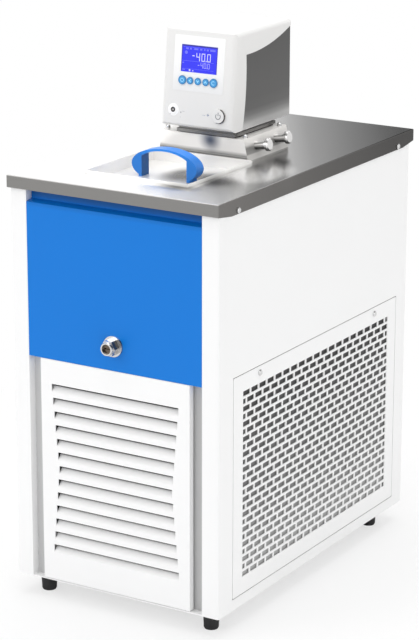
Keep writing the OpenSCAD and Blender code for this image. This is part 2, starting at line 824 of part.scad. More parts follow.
module drain_port() {
    y0 = body_y0;
    nose = 3.5;
    color("silver") difference() {
        union() {
            rod_y([0, y0 - drain_flange_t, drain_z], drain_flange_d, drain_flange_t);
            translate([0, y0 - drain_out + nose, drain_z]) rotate([-90, 0, 0])
                cylinder(h = drain_out - nose - 1, d = drain_hex_d, $fn = 6);
            rod_y([0, y0 - drain_out + 1, drain_z], stub_d, drain_out - 2);
            translate([0, y0 - drain_out, drain_z]) rotate([-90, 0, 0])
                cylinder(h = 1, d1 = stub_d - 1.2, d2 = stub_d, $fn = round_fn);
            rod_y([0, y0 - eps, drain_z], drain_hole_d - 0.4, sheet_t + eps);
        }
        rod_y([0, y0 - drain_out - 1, drain_z], stub_bore, stub_depth + 1);
        rod_y([0, y0 - drain_out, drain_z], 2 * drain_r - 2, drain_out + 5);
    }
}

module drain_plug() {
    y0 = body_y0 - drain_out + 3.5;
    d = stub_bore - 2 * plug_play;
    color("dimgray") difference() {
        rod_y([0, y0, drain_z], d, stub_depth - 3.5 - seat);
        block([-d / 2 + 1.6, y0 - 1, drain_z - 0.9], [d / 2 - 1.6, y0 + 2, drain_z + 0.9]);
    }
}

grommet_d = 20;
grommet_head_d = 14;
mount_a = compressor_d * 0.42;
mount_hole_d = 8;
base_t = 3;
dome_h = 30;
dome_low = 18;
terminal_w = 48;
terminal_h = 58;
terminal_out = 22;
terminal_z = 60;
line_stub_d = 10;
line_stub_l = 34;

module compressor() {
    r = compressor_d / 2;
    color("#202020") translate([compressor_x, compressor_y, compressor_z0]) difference() {
        union() {
            block([-mount_a - 12, -mount_a - 12, 0], [mount_a + 12, mount_a + 12, base_t]);
            cylinder(h = compressor_h - dome_h, r = r, $fn = 96);
            translate([0, 0, compressor_h - dome_h - eps])
                cylinder(h = dome_low, r1 = r, r2 = r * 0.82, $fn = 96);
            translate([0, 0, compressor_h - dome_h + dome_low - 2 * eps])
                cylinder(h = dome_h - dome_low, r1 = r * 0.82, r2 = r * 0.45, $fn = 96);
            // Cover of the electrical terminals
            block([-terminal_w / 2, -r - terminal_out, terminal_z],
                [terminal_w / 2, -r + 6, terminal_z + terminal_h]);
            // Stubs of the suction and discharge lines
            rod([-coil_r - compressor_x, line_y - compressor_y, compressor_h - dome_h],
                line_stub_d, line_stub_l);
            rod([discharge_x - compressor_x, discharge_y - compressor_y, compressor_h - dome_h],
                line_stub_d, line_stub_l);
        }
        for (sx = [-1, 1])
            for (sy = [-1, 1])
                rod([sx * mount_a, sy * mount_a, -1], mount_hole_d, base_t + 2);
    }
}

module compressor_grommets() {
    color("#303030") for (sx = [-1, 1]) for (sy = [-1, 1])
        translate([compressor_x + sx * mount_a, compressor_y + sy * mount_a, pan_z1]) {
            cylinder(h = grommet_h, d = grommet_d, $fn = round_fn);
            translate([0, 0, grommet_h - eps]) cylinder(h = base_t + 2, d = mount_hole_d - 0.2, $fn = round_fn);
            translate([0, 0, grommet_h + base_t]) cylinder(h = 3, d = grommet_head_d, $fn = round_fn);
        }
}

module condenser() {
    x1 = condenser_w / 2;
    fins = floor((condenser_w - 12) / fin_pitch);
    color("silver") difference() {
        union() {
            block([-x1, condenser_y0, condenser_z0], [x1, condenser_y1, condenser_z0 + condenser_h]);
            for (x = [-x1 - 4, x1])
                block([x, condenser_y0, pan_z1], [x + 4, condenser_y1, condenser_z0 + condenser_h]);
        }
        for (i = [0 : fins - 1]) {
            x = -fins * fin_pitch / 2 + (i + 0.5) * fin_pitch;
            for (y = [condenser_y0 - 1, condenser_y1 - 9])
                block([x - fin_pitch * 0.36, y, condenser_z0 + 5],
                    [x + fin_pitch * 0.36, y + 10, condenser_z0 + condenser_h - 5]);
        }
    }
}

module fan_shroud() {
    x1 = condenser_w / 2 + 4;
    z1 = condenser_z0 + condenser_h;
    arm = 8;
    color("#3a3a3a") {
        difference() {
            block([-x1, condenser_y1, pan_z1], [x1, condenser_y1 + 2, z1]);
            rod_y([0, condenser_y1 - 1, fan_z], fan_d + 12, 4);
        }
        difference() {
            rod_y([0, condenser_y1 + 2 - eps, fan_z], fan_d + 16, shroud_y1 - condenser_y1 - 2);
            rod_y([0, condenser_y1 - 1, fan_z], fan_d + 12, shroud_y1 - condenser_y1 + 2);
        }
        // Four arms that carry the fan motor
        difference() {
            union() {
                block([-fan_d / 2 - 7, shroud_y1 - eps, fan_z - arm / 2], [fan_d / 2 + 7, shroud_y1 + 4, fan_z + arm / 2]);
                block([-arm / 2, shroud_y1 - eps, fan_z - fan_d / 2 - 7], [arm / 2, shroud_y1 + 4, fan_z + fan_d / 2 + 7]);
                rod_y([0, shroud_y1 - eps, fan_z], 60, 4 + eps);
            }
            rod_y([0, shroud_y1 - 2, fan_z], 16, 9);
        }
    }
}

fan_motor_d = 70;
fan_motor_l = 42;
fan_cap_d = 54;
fan_cap_l = 8;
fan_shaft_in = 30;

module fan_motor() {
    color("#4a4a4a") difference() {
        union() {
            rod_y([0, fan_motor_y0, fan_z], fan_motor_d, fan_motor_l);
            rod_y([0, fan_motor_y0 + fan_motor_l - eps, fan_z], fan_cap_d, fan_cap_l);
        }
        rod_y([0, fan_motor_y0 - 1, fan_z], fan_shaft + 2 * shaft_play, fan_shaft_in + 6);
    }
}

module fan_blade() {
    blades = 5;
    hub_d = 44;
    color("#1c1c1c") {
        difference() {
            rod_y([0, fan_y - 7, fan_z], hub_d, 14);
            rod_y([0, fan_y - 8, fan_z], hub_d - 8, 9);
        }
        rod_y([0, fan_y, fan_z], fan_shaft, fan_motor_y0 + fan_shaft_in - fan_y);
        intersection() {
            rod_y([0, fan_y - 14, fan_z], fan_d, 28);
            translate([0, fan_y, fan_z]) for (i = [0 : blades - 1])
                rotate([0, i * 360 / blades, 0]) translate([hub_d / 2 - 2, 0, 0]) rotate([28, 0, 0])
                    translate([0, -1, -22]) cube([fan_d, 2, 44]);
        }
    }
}

drier_d = 26;
drier_l = 104;
drier_cone = 12;
drier_z0 = pan_z1 + 90;
drier_z1 = drier_z0 + drier_l;

module filter_drier() {
    color("#b87333") translate([coil_r, line_y, 0]) {
        rod([0, 0, drier_z0 + drier_cone], drier_d, drier_l - 2 * drier_cone);
        translate([0, 0, drier_z1 - drier_cone - eps])
            cylinder(h = drier_cone, d1 = drier_d, d2 = line_d, $fn = round_fn);
        translate([0, 0, drier_z0 + eps])
            cylinder(h = drier_cone, d1 = line_d, d2 = drier_d, $fn = round_fn);
    }
}

discharge_x = compressor_x + 24;
discharge_y = compressor_y - 24;
side_line_x = condenser_w / 2 + 14;

// A tube along straight legs, with a ball at every corner
module pipe(points, d) {
    for (i = [0 : len(points) - 2]) {
        a = points[i];
        v = points[i + 1] - a;
        translate(a) rotate([0, acos(v[2] / norm(v)), atan2(v[1], v[0])])
            cylinder(h = norm(v), d = d, $fn = round_fn);
        if (i > 0) translate(a) sphere(d = d, $fn = round_fn);
    }
}

// Socket that joins a line to one end of the cooling coil
module coil_socket(k) {
    difference() {
        rod_y([coil_end_x(k), line_y - 9, coil_end_z(k)], line_d + 4, 15);
        rod_y([coil_end_x(k), line_y - 10, coil_end_z(k)], coil_tube + 0.1, 6);
    }
}

module refrigerant_lines() {
    top = compressor_z0 + compressor_h - dome_h + line_stub_l;
    low = pan_z1 + 26;
    high = condenser_z0 + condenser_h - 10;
    y = (condenser_y0 + condenser_y1) / 2;
    color("#b87333") {
        coil_socket(0);
        coil_socket(1);
        rod([-coil_r, line_y, top], line_d, coil_end_z(0) - top);
        rod([coil_r, line_y, drier_z1], line_d, coil_end_z(1) - drier_z1);
        pipe([[coil_r, line_y, drier_z0], [coil_r, line_y, low], [side_line_x, line_y, low],
            [side_line_x, y, low], [condenser_w / 2 + 4, y, low]], line_d);
        pipe([[discharge_x, discharge_y, top], [discharge_x, discharge_y, high],
            [-side_line_x, discharge_y, high], [-side_line_x, y, high],
            [-condenser_w / 2 - 4, y, high]], line_d);
    }
}

module lid() {
    x1 = lid_w / 2;
    r = 2;
    color("silver") difference() {
        translate([0, 0, lid_bottom]) linear_extrude(lid_top - lid_bottom)
            round_rect([-x1, lid_y0], [x1, lid_y1], r);
        translate([0, 0, lid_floor]) linear_extrude(lid_depth + 1)
            round_rect([-x1 + lid_t, lid_y0 + lid_t], [x1 - lid_t, lid_y1 - lid_t], r - lid_t);
        for (s = [-1, 1]) rod([s * handle_screw_x, handle_y, lid_bottom - 1], handle_shank_d + 0.8, lid_t + 2);
    }
}

// Oval bow: open for the fingers down to the tray, with two flat feet
module lid_handle() {
    g = grip_w / 2;
    color("#2d7ddc") difference() {
        along_y(handle_y - handle_d / 2, handle_y + handle_d / 2) difference() {
            union() {
                intersection() {
                    translate([0, handle_z]) polygon(oval(handle_w / 2, handle_h / 2, handle_steps));
                    translate([-handle_w, lid_floor]) square([2 * handle_w, 2 * handle_h]);
                }
                translate([-g - handle_foot, lid_floor]) square([2 * (g + handle_foot), handle_foot]);
            }
            intersection() {
                translate([0, handle_z]) polygon(oval(g * 1.21, handle_h / 2 - grip_t, handle_steps));
                translate([-g, handle_z]) square([grip_w, handle_h]);
            }
            translate([-g, lid_floor - 1]) square([grip_w, handle_z - lid_floor + 1 + eps]);
        }
        for (s = [-1, 1]) rod([s * handle_screw_x, handle_y, lid_floor - 1], handle_shank_d + 0.2, 8);
    }
}

module handle_screws() {
    color("silver") for (s = [-1, 1])
        translate([s * handle_screw_x, handle_y, lid_bottom]) rotate([180, 0, 0])
            pan_screw(5.4, 1.8, handle_shank_d, lid_t + 6);
}

function bridge_half(z) = bridge_w / 2 - bridge_draft * (z - plate_z) / bridge_h;

// Solid form of the bridge, drawn in by t on every side and by top from above
module bridge_form(t, top) {
    z0 = plate_z - (t > 0 ? 1 : 0);
    z1 = bridge_z1 - top;
    intersection() {
        along_y(bridge_y0 - 20, bridge_y1 - t)
            polygon([[t - bridge_half(z0), z0], [bridge_half(z0) - t, z0], [bridge_half(z1) - t, z1],
                [t - bridge_half(z1), z1]]);
        along_x(-bridge_w, bridge_w)
            polygon([[bridge_y0 + t, z0], [bridge_y1 - t, z0], [bridge_y1 - t, z1], [bridge_y0 - bridge_lean + t, z1]]);
    }
}

// Place something on a nozzle's axis: z runs outward, square to the bridge's sloping side
module at_nozzle(k) {
    translate([nozzle_x, nozzle_y[k], nozzle_z]) rotate([0, 90 - bridge_tilt, 0]) children();
}

bridge_open_x = 45;
bridge_open_y = [mid_y - 34, mid_y + 56];
gasket_w = 3;

// The head's foot is cut away at its front left corner
notch_x = 35.8;
notch_y = mid_y - 18;

// Outline of the bridge's opening, grown by g on every side
module open_outline(g) {
    difference() {
        translate([-bridge_open_x - g, bridge_open_y[0] - g])
            square([2 * (bridge_open_x + g), bridge_open_y[1] - bridge_open_y[0] + 2 * g]);
        translate([-2 * bridge_open_x, bridge_open_y[0] - 2 * bridge_open_x])
            square([2 * bridge_open_x - notch_x + gasket_w + 1 - g,
                notch_y + gasket_w + 1 - g - bridge_open_y[0] + 2 * bridge_open_x]);
    }
}

module bridge() {
    color("silver") difference() {
        union() {
            difference() {
                bridge_form(0, 0);
                bridge_form(bridge_t, bridge_t);
                block([-bridge_w, bridge_y0 - 20, plate_z - 1], [bridge_w, bridge_y1 + 20, plate_z + band_h]);
            }
            // Set-back band along the foot
            difference() {
                bridge_form(band_in, 0);
                bridge_form(band_in + bridge_t, bridge_t);
                block([-bridge_w, bridge_y0 - 20, plate_z - 2], [bridge_w, bridge_y1 + 20, plate_z]);
                block([-bridge_w, bridge_y0 - 20, plate_z + band_h + bridge_t],
                    [bridge_w, bridge_y1 + 20, bridge_z1 + 1]);
            }
        }
        translate([0, 0, bridge_z1 - 5]) linear_extrude(6) open_outline(0);
        for (s = [-1, 1])
            for (y = post_y)
                rod([s * post_side, y, bridge_z1 - 4], 4.4, 6);
        for (k = [0, 1]) at_nozzle(k) translate([0, 0, -6]) cylinder(h = 12, d = nozzle_d, $fn = round_fn);
    }
}

module bridge_posts() {
    color("silver") for (s = [-1, 1]) for (y = post_y) {
        translate([s * post_side, y, bridge_z1]) {
            cylinder(h = 3.4, d = post_d, $fn = round_fn);
            translate([0, 0, 3.4 - eps]) cylinder(h = 1.4, d1 = post_d, d2 = post_d - 2.4, $fn = round_fn);
            translate([0, 0, -3]) cylinder(h = 3 + eps, d = 4.2, $fn = round_fn);
        }
    }
}

module head_gasket() {
    color("#161616") translate([0, 0, bridge_z1]) linear_extrude(gasket_t) difference() {
        open_outline(gasket_w);
        open_outline(0);
    }
}

tray_x = 50.5;
rod_d = 6;
rod_xs = [30, -30];
rod_ys = [pump_y - 14, pump_y - 14];
heater_leg_a = 52;
fitting_play = 0.2;

neck_in = 2.5;
tray_y = [mid_y - 45.5, mid_y + 61];

// Flat tray between two heights, drawn in by t on every side
module tray(t, z0, z1) {
    difference() {
        block([t - tray_x, tray_y[0] + t, z0], [tray_x - t, tray_y[1] - t, z1]);
        block([-2 * tray_x, tray_y[0] - tray_x, z0 - 1], [t - notch_x, notch_y + t, z1 + 1]);
    }
}

module head_base() {
    z1 = base_z0 + tray_h;
    color("darkgray") difference() {
        union() {
            tray(0, base_z0, z1);
            tray(neck_in, z1 - eps, head_z0 + eps);
            block([-head_x + head_wall + 0.2, head_y0 + chamfer_y + 3, head_z0],
                [head_x - head_wall - 0.2, head_y1 - steel_in - steel_t - 0.2, head_z0 + 2]);
        }
        rod([0, pump_y, base_z0 - 1], shaft_d + 4, 40);
        for (k = [0, 1]) rod([rod_xs[k], rod_ys[k], base_z0 - 1], rod_d + fitting_play, 40);
    }
}

// Whole outer form of the head, drawn in by t; low lets an inner form run out below
module head_form(t, low) {
    x = head_x - t;
    z0 = head_z0 - low;
    z1 = head_z1 - t;
    ya = head_y0 + t / cos(face_tilt);
    yb = head_y1 - t;
    slope = head_lean / head_h;
    intersection() {
        along_x(-x, x) {
            polygon([[ya + chamfer_y, z0], [yb, z0], [yb, z1],
                [ya + slope * (z1 - head_z0) + 1, z1], [ya + slope * (z1 - head_z0 - 1), z1 - 1],
                [ya + slope * (chamfer_z + 1), head_z0 + chamfer_z + 1],
                [ya + slope * chamfer_z + 1.5, head_z0 + chamfer_z - 0.6]]);
        }
        along_y(head_y0 - 20, head_y1 + 20) round_rect([-x, z0 - 20], [x, z1], max(head_top_r - t, 1));
        translate([0, head_y0, head_z0]) rotate([-face_tilt, 0, 0]) translate([0, 0, -30])
            linear_extrude(head_h + 60) round_rect([-x, t], [x, head_d + 60], max(head_r - t, 1));
    }
}

// Side view of the part of the head that the steel cover takes up
module steel_side() {
    curve_r = 295;
    front_r = 330;
    difference() {
        translate([head_y0, head_z0 - 40]) square([head_d + 20, head_h + 60]);
        translate([wing_y + 2.4, wing_z + curve_r]) circle(curve_r, $fn = 200);
        translate([wing_y - front_r, wing_z - 18]) circle(front_r, $fn = 200);
        translate([head_y0 - 1, wing_z]) square([wing_y + 2.4 - head_y0 + 1, head_h]);
    }
}

module head_cover() {
    x = head_x + 1;
    color("white") difference() {
        head_form(0, 0);
        head_form(head_wall, 3);
        along_x(-x, x) steel_side();
        on_face(0, lcd_s, -5) linear_extrude(10) square([lcd_w - 2, lcd_h - 2], center = true);
        for (i = [-2 : 2])
            on_face(i * key_pitch, key_s, -5) cylinder(h = 10, d = stem_d + 2 * press_play, $fn = round_fn);
        on_face(button_x, button_s, -5) cylinder(h = 10, d = button_d + 2 * press_play, $fn = round_fn);
        on_face(socket_x, socket_s, -5) cylinder(h = 10, d = 7, $fn = round_fn);
    }
}

module head_side_cover() {
    x = head_x + 1;
    color("dimgray") intersection() {
        difference() {
            head_form(steel_in, 0);
            head_form(steel_in + steel_t, 3);
        }
        along_x(-x, x) steel_side();
    }
}

module membrane_panel() {
    color("ivory") difference() {
        on_face(0, membrane_s, 0) translate([0, 0, eps]) linear_extrude(membrane_t)
            round_rect([-membrane_w / 2, -membrane_h / 2], [membrane_w / 2, membrane_h / 2], 2);
        on_face(0, lcd_s, -5) linear_extrude(10) square([lcd_w, lcd_h], center = true);
        for (i = [-2 : 2])
            on_face(i * key_pitch, key_s, -5)
                cylinder(h = 10, d = (abs(i) == 2 ? key_big : key_small) + 2 * seat, $fn = round_fn);
    }
}

module display() {
    color("#3c46eb") {
        on_face(0, lcd_s, -0.6) translate([0, 0, 0.62]) linear_extrude(0.3)
            square([lcd_w - 0.2, lcd_h - 0.2], center = true);
        on_face(0, lcd_s, -7) linear_extrude(7 + 0.1) square([lcd_w - 2.4, lcd_h - 2.4], center = true);
    }
}

// A key cap on the membrane with a short plunger through the cover
module key_at(i) {
    d = abs(i) == 2 ? key_big : key_small;
    color("#5db7ee") on_face(i * key_pitch, key_s, 0) {
        translate([0, 0, key_travel + seat]) cylinder(h = key_cap, d = d, $fn = round_fn);
        translate([0, 0, -head_wall])
            cylinder(h = head_wall + key_travel + seat + 0.1, d = stem_d, $fn = round_fn);
    }
}

module key_select() {
    key_at(-2);
}

module key_left() {
    key_at(-1);
}

module key_down() {
    key_at(0);
}

module key_up() {
    key_at(1);
}

module key_enter() {
    key_at(2);
}

module power_button() {
    color("whitesmoke") on_face(button_x, button_s, 0) {
        translate([0, 0, -4]) cylinder(h = 4 + button_travel + 0.6, d = button_d, $fn = round_fn);
        translate([0, 0, button_travel + 0.6 - eps])
            cylinder(h = 0.8, d1 = button_d, d2 = button_d - 1.6, $fn = round_fn);
    }
}

module sensor_socket() {
    color("#2a2a2a") on_face(socket_x, socket_s, 0) difference() {
        union() {
            translate([0, 0, eps]) cylinder(h = 0.8, d = 11.4, $fn = round_fn);
            translate([0, 0, -9]) cylinder(h = 9 + 2 * eps, d = 6.8, $fn = round_fn);
        }
        translate([0, 0, -6]) cylinder(h = 9, d = 4.2, $fn = round_fn);
    }
}

module control_board() {
    color("darkgreen") {
        on_face(0, head_h / 2 + 6, -12) linear_extrude(1.6) square([88, head_h - 30], center = true);
        for (s = [-1, 1])
            for (t = [40, head_h - 16])
                on_face(s * 40, t, -10.5) cylinder(h = 10.5 - head_wall, d = 6, $fn = round_fn);
    }
}

module pump_motor() {
    color("#55585c") translate([0, pump_y, motor_z0]) difference() {
        union() {
            cylinder(h = 4, d = motor_d + 8, $fn = 96);
            cylinder(h = motor_h, d = motor_d, $fn = 96);
            translate([0, 0, motor_h - eps]) cylinder(h = 6, d = 30, $fn = round_fn);
        }
        translate([0, 0, -1]) cylinder(h = motor_h - 4, d = shaft_d + 2 * shaft_play, $fn = round_fn);
    }
}

module pump_rotor() {
    z0 = chamber_z0 + 6;
    z1 = motor_z0 + motor_h - 8;
    vane = impeller_d / 2;
    color("silver") translate([0, pump_y, 0]) {
        rod([0, 0, z0], shaft_d, z1 - z0);
        rod([0, 0, z0], impeller_d, 2);
        for (a = [0 : 60 : 300]) rotate(a) translate([shaft_d / 2 - 1, -0.8, z0]) cube([vane - shaft_d / 2 - 0.5, 1.6, 12]);
    }
}

module pump_housing() {
    wall = 1.6;
    bush_h = 10;
    color("silver") translate([0, pump_y, 0]) difference() {
        union() {
            rod([0, 0, flange_z0], 2 * flange_r, 3);
            rod([0, 0, column_z0 - eps], column_d, flange_z0 - column_z0 + 2 * eps);
            rod([0, 0, chamber_z0], chamber_d, chamber_h);
        }
        rod([0, 0, column_z0 + bush_h], column_d - 2 * wall, flange_z0 - column_z0 - bush_h);
        rod([0, 0, flange_z0 - 1], shaft_d + 4, 9);
        rod([0, 0, column_z0 - 5], shaft_d + 2 * shaft_play, 30);
        rod([0, 0, chamber_z0 + 3], chamber_d - 2 * wall - 2, chamber_h - 3 - wall);
        rod([0, 0, chamber_z0 - 1], 22, 6);
        for (a = [0 : 90 : 270]) rotate(a + 45) translate([0, 0, chamber_z0 + 12])
            rotate([0, 90, 0]) cylinder(h = chamber_d, d = 8, $fn = round_fn);
        for (a = heater_leg_a * [-1, 1])
            rod([heater_r * sin(a), heater_r * cos(a), flange_z0 - 1], heater_tube + fitting_play, 6);
        for (k = [0, 1])
            rod([rod_xs[k], rod_ys[k] - pump_y, flange_z0 - 1], rod_d + fitting_play, 6);
    }
}

heater_turns = 3;
heater_z0 = chamber_z0 + 2;

module heater_coil() {
    color("silver") translate([0, pump_y, 0]) {
        for (k = [0 : heater_turns - 1])
            translate([0, 0, heater_z0 + k * (heater_tube + 4)])
                rotate_extrude($fn = 96) translate([heater_r, 0]) circle(d = heater_tube, $fn = round_fn);
        for (a = heater_leg_a * [-1, 1])
            rod([heater_r * sin(a), heater_r * cos(a), heater_z0], heater_tube, base_z0 - heater_z0);
    }
}

module temperature_probe() {
    z0 = column_z0 + 30;
    color("silver") rod([rod_xs[0], rod_ys[0], z0], rod_d, head_z0 - z0);
}

float_h = 16;
float_z0 = tank_top - 60;
float_travel = 10;

module level_rod() {
    z0 = float_z0 - float_travel - 3;
    color("silver") translate([rod_xs[1], rod_ys[1], 0]) {
        rod([0, 0, z0], rod_d, head_z0 - z0);
        rod([0, 0, z0], rod_d + 4, 2);
        rod([0, 0, float_z0 + float_h + float_travel + 1], rod_d + 4, 2);
    }
}

module level_float() {
    color("white") translate([rod_xs[1], rod_ys[1], 0]) difference() {
        rod([0, 0, float_z0], 14, float_h);
        rod([0, 0, float_z0 - 1], rod_d + 0.16, float_h + 2);
    }
}

cap_seat = 0.3;
cap_l = 4;
cap_z0 = nozzle_out - cap_l + 2;
nozzle_neck = 1.2;
nozzle_flange = 2.4;

module pump_nozzles() {
    color("silver") for (k = [0, 1]) at_nozzle(k) difference() {
        union() {
            translate([0, 0, -14]) cylinder(h = 14 + nozzle_out, d = nozzle_d, $fn = round_fn);
            translate([0, 0, -bridge_t - 3]) cylinder(h = 3, d = nozzle_d + nozzle_flange, $fn = round_fn);
        }
        translate([0, 0, -15]) cylinder(h = nozzle_out + 16, d = nozzle_bore, $fn = round_fn);
        // Narrow neck behind the cap
        translate([0, 0, cap_z0 - nozzle_neck]) difference() {
            cylinder(h = nozzle_neck, d = nozzle_d + 1, $fn = round_fn);
            translate([0, 0, -1]) cylinder(h = nozzle_neck + 2, d = (nozzle_d + nozzle_bore) / 2, $fn = round_fn);
        }
    }
}

module nozzle_cap(k) {
    z0 = cap_z0;
    color("silver") at_nozzle(k) difference() {
        union() {
            translate([0, 0, z0]) cylinder(h = cap_l - 1, d = cap_d, $fn = round_fn);
            translate([0, 0, z0 + cap_l - 1 - eps])
                cylinder(h = 1.6, d1 = cap_d, d2 = cap_d - 3.2, $fn = round_fn);
        }
        translate([0, 0, z0 - 1]) cylinder(h = nozzle_out - z0 + 1 + cap_seat, d = nozzle_d + 0.1, $fn = round_fn);
    }
}

module nozzle_cap_front() {
    nozzle_cap(0);
}

module nozzle_cap_rear() {
    nozzle_cap(1);
}

module power_inlet() {
    y1 = body_y1 - sheet_t;
    color("#1a1a1a") difference() {
        union() {
            block([inlet_x - 24, y1, inlet_z - 13], [inlet_x + 24, y1 + 2.5, inlet_z + 13]);
            block([inlet_x - inlet_w / 2 + 0.2, y1 - 24, inlet_z - inlet_h / 2 + 0.2],
                [inlet_x + inlet_w / 2 - 0.2, y1 + eps, inlet_z + inlet_h / 2 - 0.2]);
        }
        block([inlet_x - 11, y1 - 16, inlet_z - 7.5], [inlet_x + 11, y1 + 4, inlet_z + 7.5]);
    }
    // Three flat contact blades
    color("silver") for (p = [[-7, -2], [0, 2], [7, -2]])
        block([inlet_x + p[0] - 1, y1 - 16 - eps, inlet_z + p[1] - 2],
            [inlet_x + p[0] + 1, y1 - 6, inlet_z + p[1] + 2]);
}

rocker_wall = 2;
rocker_axle = 3;

module rocker_housing() {
    y1 = body_y1 - sheet_t;
    x1 = rocker_w / 2 - 0.2;
    z1 = rocker_h / 2 - 0.2;
    color("#1a1a1a") translate([rocker_x, y1, rocker_z]) difference() {
        union() {
            block([-rocker_w / 2 - 2, 0, -rocker_h / 2 - 2], [rocker_w / 2 + 2, 2, rocker_h / 2 + 2]);
            block([-x1, -20, -z1], [x1, eps, z1]);
        }
        block([-x1 + rocker_wall, -14, -z1 + rocker_wall], [x1 - rocker_wall, 3, z1 - rocker_wall]);
        rod_x([-x1 + 0.8, -3, 0], rocker_axle + 0.1, 2 * x1 - 1.6);
    }
}

module rear_rocker() {
    y1 = body_y1 - sheet_t;
    x1 = rocker_w / 2 - 0.2 - rocker_wall - 0.3;
    h = rocker_h / 2 - 4;
    color("#c03028") translate([rocker_x, y1 - 3, rocker_z]) {
        rotate([8, 0, 0]) along_x(-x1, x1) polygon([[0, -h], [4.6, -h], [3.4, 0], [4.6, h], [0, h], [-4.5, 0]]);
        rod_x([-x1 - 1.2, 0, 0], rocker_axle, 2 * x1 + 2.4);
    }
}

base_pan();
feet();
cabinet_screws();
side_panel_left();
side_panel_right();
back_panel();
front_frame();
side_grille();
side_filter();
front_panel();
louvre_panel();
dust_filter();
top_plate();
bath_frame();
bath_tank();
tank_insulation();
cooling_coil();
drain_tube();
drain_port();
drain_plug();
compressor();
compressor_grommets();
condenser();
fan_shroud();
fan_motor();
fan_blade();
filter_drier();
refrigerant_lines();
lid();
lid_handle();
handle_screws();
bridge();
bridge_posts();
head_gasket();
head_base();
head_cover();
head_side_cover();
membrane_panel();
display();
key_select();
key_left();
key_down();
key_up();
key_enter();
power_button();
sensor_socket();
control_board();
pump_motor();
pump_rotor();
pump_housing();
heater_coil();
temperature_probe();
level_rod();
level_float();
pump_nozzles();
nozzle_cap_front();
nozzle_cap_rear();
power_inlet();
rocker_housing();
rear_rocker();
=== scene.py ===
import json
import math

import bmesh
import bpy
from mathutils import Matrix, Vector


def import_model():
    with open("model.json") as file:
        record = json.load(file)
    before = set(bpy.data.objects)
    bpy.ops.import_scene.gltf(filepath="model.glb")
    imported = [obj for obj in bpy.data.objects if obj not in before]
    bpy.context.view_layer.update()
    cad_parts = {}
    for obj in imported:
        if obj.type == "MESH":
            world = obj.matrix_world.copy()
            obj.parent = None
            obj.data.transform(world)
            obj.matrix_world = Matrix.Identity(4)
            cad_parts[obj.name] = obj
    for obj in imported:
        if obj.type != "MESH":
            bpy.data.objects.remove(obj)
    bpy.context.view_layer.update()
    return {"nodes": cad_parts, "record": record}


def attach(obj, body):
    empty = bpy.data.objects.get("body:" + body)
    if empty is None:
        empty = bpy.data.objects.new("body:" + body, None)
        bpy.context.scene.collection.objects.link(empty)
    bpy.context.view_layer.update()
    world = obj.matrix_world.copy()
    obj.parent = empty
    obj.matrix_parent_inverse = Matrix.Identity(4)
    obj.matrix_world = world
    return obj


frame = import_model()
NODES = frame["nodes"]
SLOTS = {s["node"]: s["material_slot"] for s in frame["record"]["subparts"]}

# Y of the top plate's middle in the CAD, in millimetres
MID_Y = 6.1

# Camera, solved on the photo: angles in degrees, lens and sensor in millimetres
CAMERA_AT = (1.62323, -2.70169 + MID_Y / 1000, 1.25997)
CAMERA_TURN = 31.206
CAMERA_DOWN = 16.400
CAMERA_ROLL = 0.083
CAMERA_LENS = 138.65
CAMERA_SENSOR = 36


def camera():
    cam = bpy.data.objects.new("camera", bpy.data.cameras.new("camera"))
    bpy.context.scene.collection.objects.link(cam)
    cam.data.lens = CAMERA_LENS
    cam.data.sensor_width = CAMERA_SENSOR
    cam.data.clip_start = 0.05
    cam.data.clip_end = 60
    turn, down, roll = (math.radians(v) for v in (CAMERA_TURN, CAMERA_DOWN, CAMERA_ROLL))
    back = Vector((math.sin(turn) * math.cos(down), -math.cos(turn) * math.cos(down), math.sin(down)))
    right = Vector((math.cos(turn), math.sin(turn), 0))
    up = back.cross(right)
    x = math.cos(roll) * right + math.sin(roll) * up
    y = -math.sin(roll) * right + math.cos(roll) * up
    m = Matrix((x, y, back)).transposed().to_4x4()
    m.translation = Vector(CAMERA_AT)
    cam.matrix_world = m
    bpy.context.scene.camera = cam


camera()


# Node helpers. A source is a socket to link from, or a plain value.
def node(tree, kind, **values):
    """Add a node; a value goes to its setting of that name, or else to its input."""
    n = tree.nodes.new(kind)
    for k, v in values.items():
        if hasattr(n, k):
            setattr(n, k, v)
        else:
            n.inputs[k.replace("_", " ")].default_value = v
    return n


def feed(tree, source, socket):
    if isinstance(source, bpy.types.NodeSocket):
        tree.links.new(source, socket)
    else:
        socket.default_value = source


def calc(tree, operation, *sources):
    n = node(tree, "ShaderNodeMath", operation=operation)
    for source, socket in zip(sources, n.inputs):
        feed(tree, source, socket)
    return n.outputs[0]


def vector_calc(tree, operation, *sources):
    n = node(tree, "ShaderNodeVectorMath", operation=operation)
    for source, socket in zip(sources, n.inputs):
        feed(tree, source, socket)
    return n.outputs["Value" if operation in ("DOT_PRODUCT", "LENGTH") else "Vector"]


def span(tree, source, **limits):
    """Map a range onto another one, each from 0 to 1 where no limit is given."""
    n = node(tree, "ShaderNodeMapRange", **limits)
    tree.links.new(source, n.inputs["Value"])
    return n.outputs["Result"]


def blend(tree, factor, a, b, **settings):
    """Mix two colours."""
    n = node(tree, "ShaderNodeMix", data_type="RGBA", **settings)
    for source, name in ((factor, "Factor"), (a, "A"), (b, "B")):
        feed(tree, source, n.inputs[name])
    return n.outputs["Result"]


def ramp(tree, source, stops):
    """Grey ramp of stops, each a place from 0 to 1 and a value."""
    n = node(tree, "ShaderNodeValToRGB")
    elements = n.color_ramp.elements
    for element, (at, value) in zip(elements, (stops[0], stops[-1])):
        element.position = at
        element.color = grey(value)
    for at, value in stops[1:-1]:
        elements.new(at).color = grey(value)
    tree.links.new(source, n.inputs["Fac"])
    return n.outputs["Color"]


def parts(tree, source):
    """The X, Y and Z outputs of a vector."""
    n = node(tree, "ShaderNodeSeparateXYZ")
    tree.links.new(source, n.inputs["Vector"])
    return n.outputs


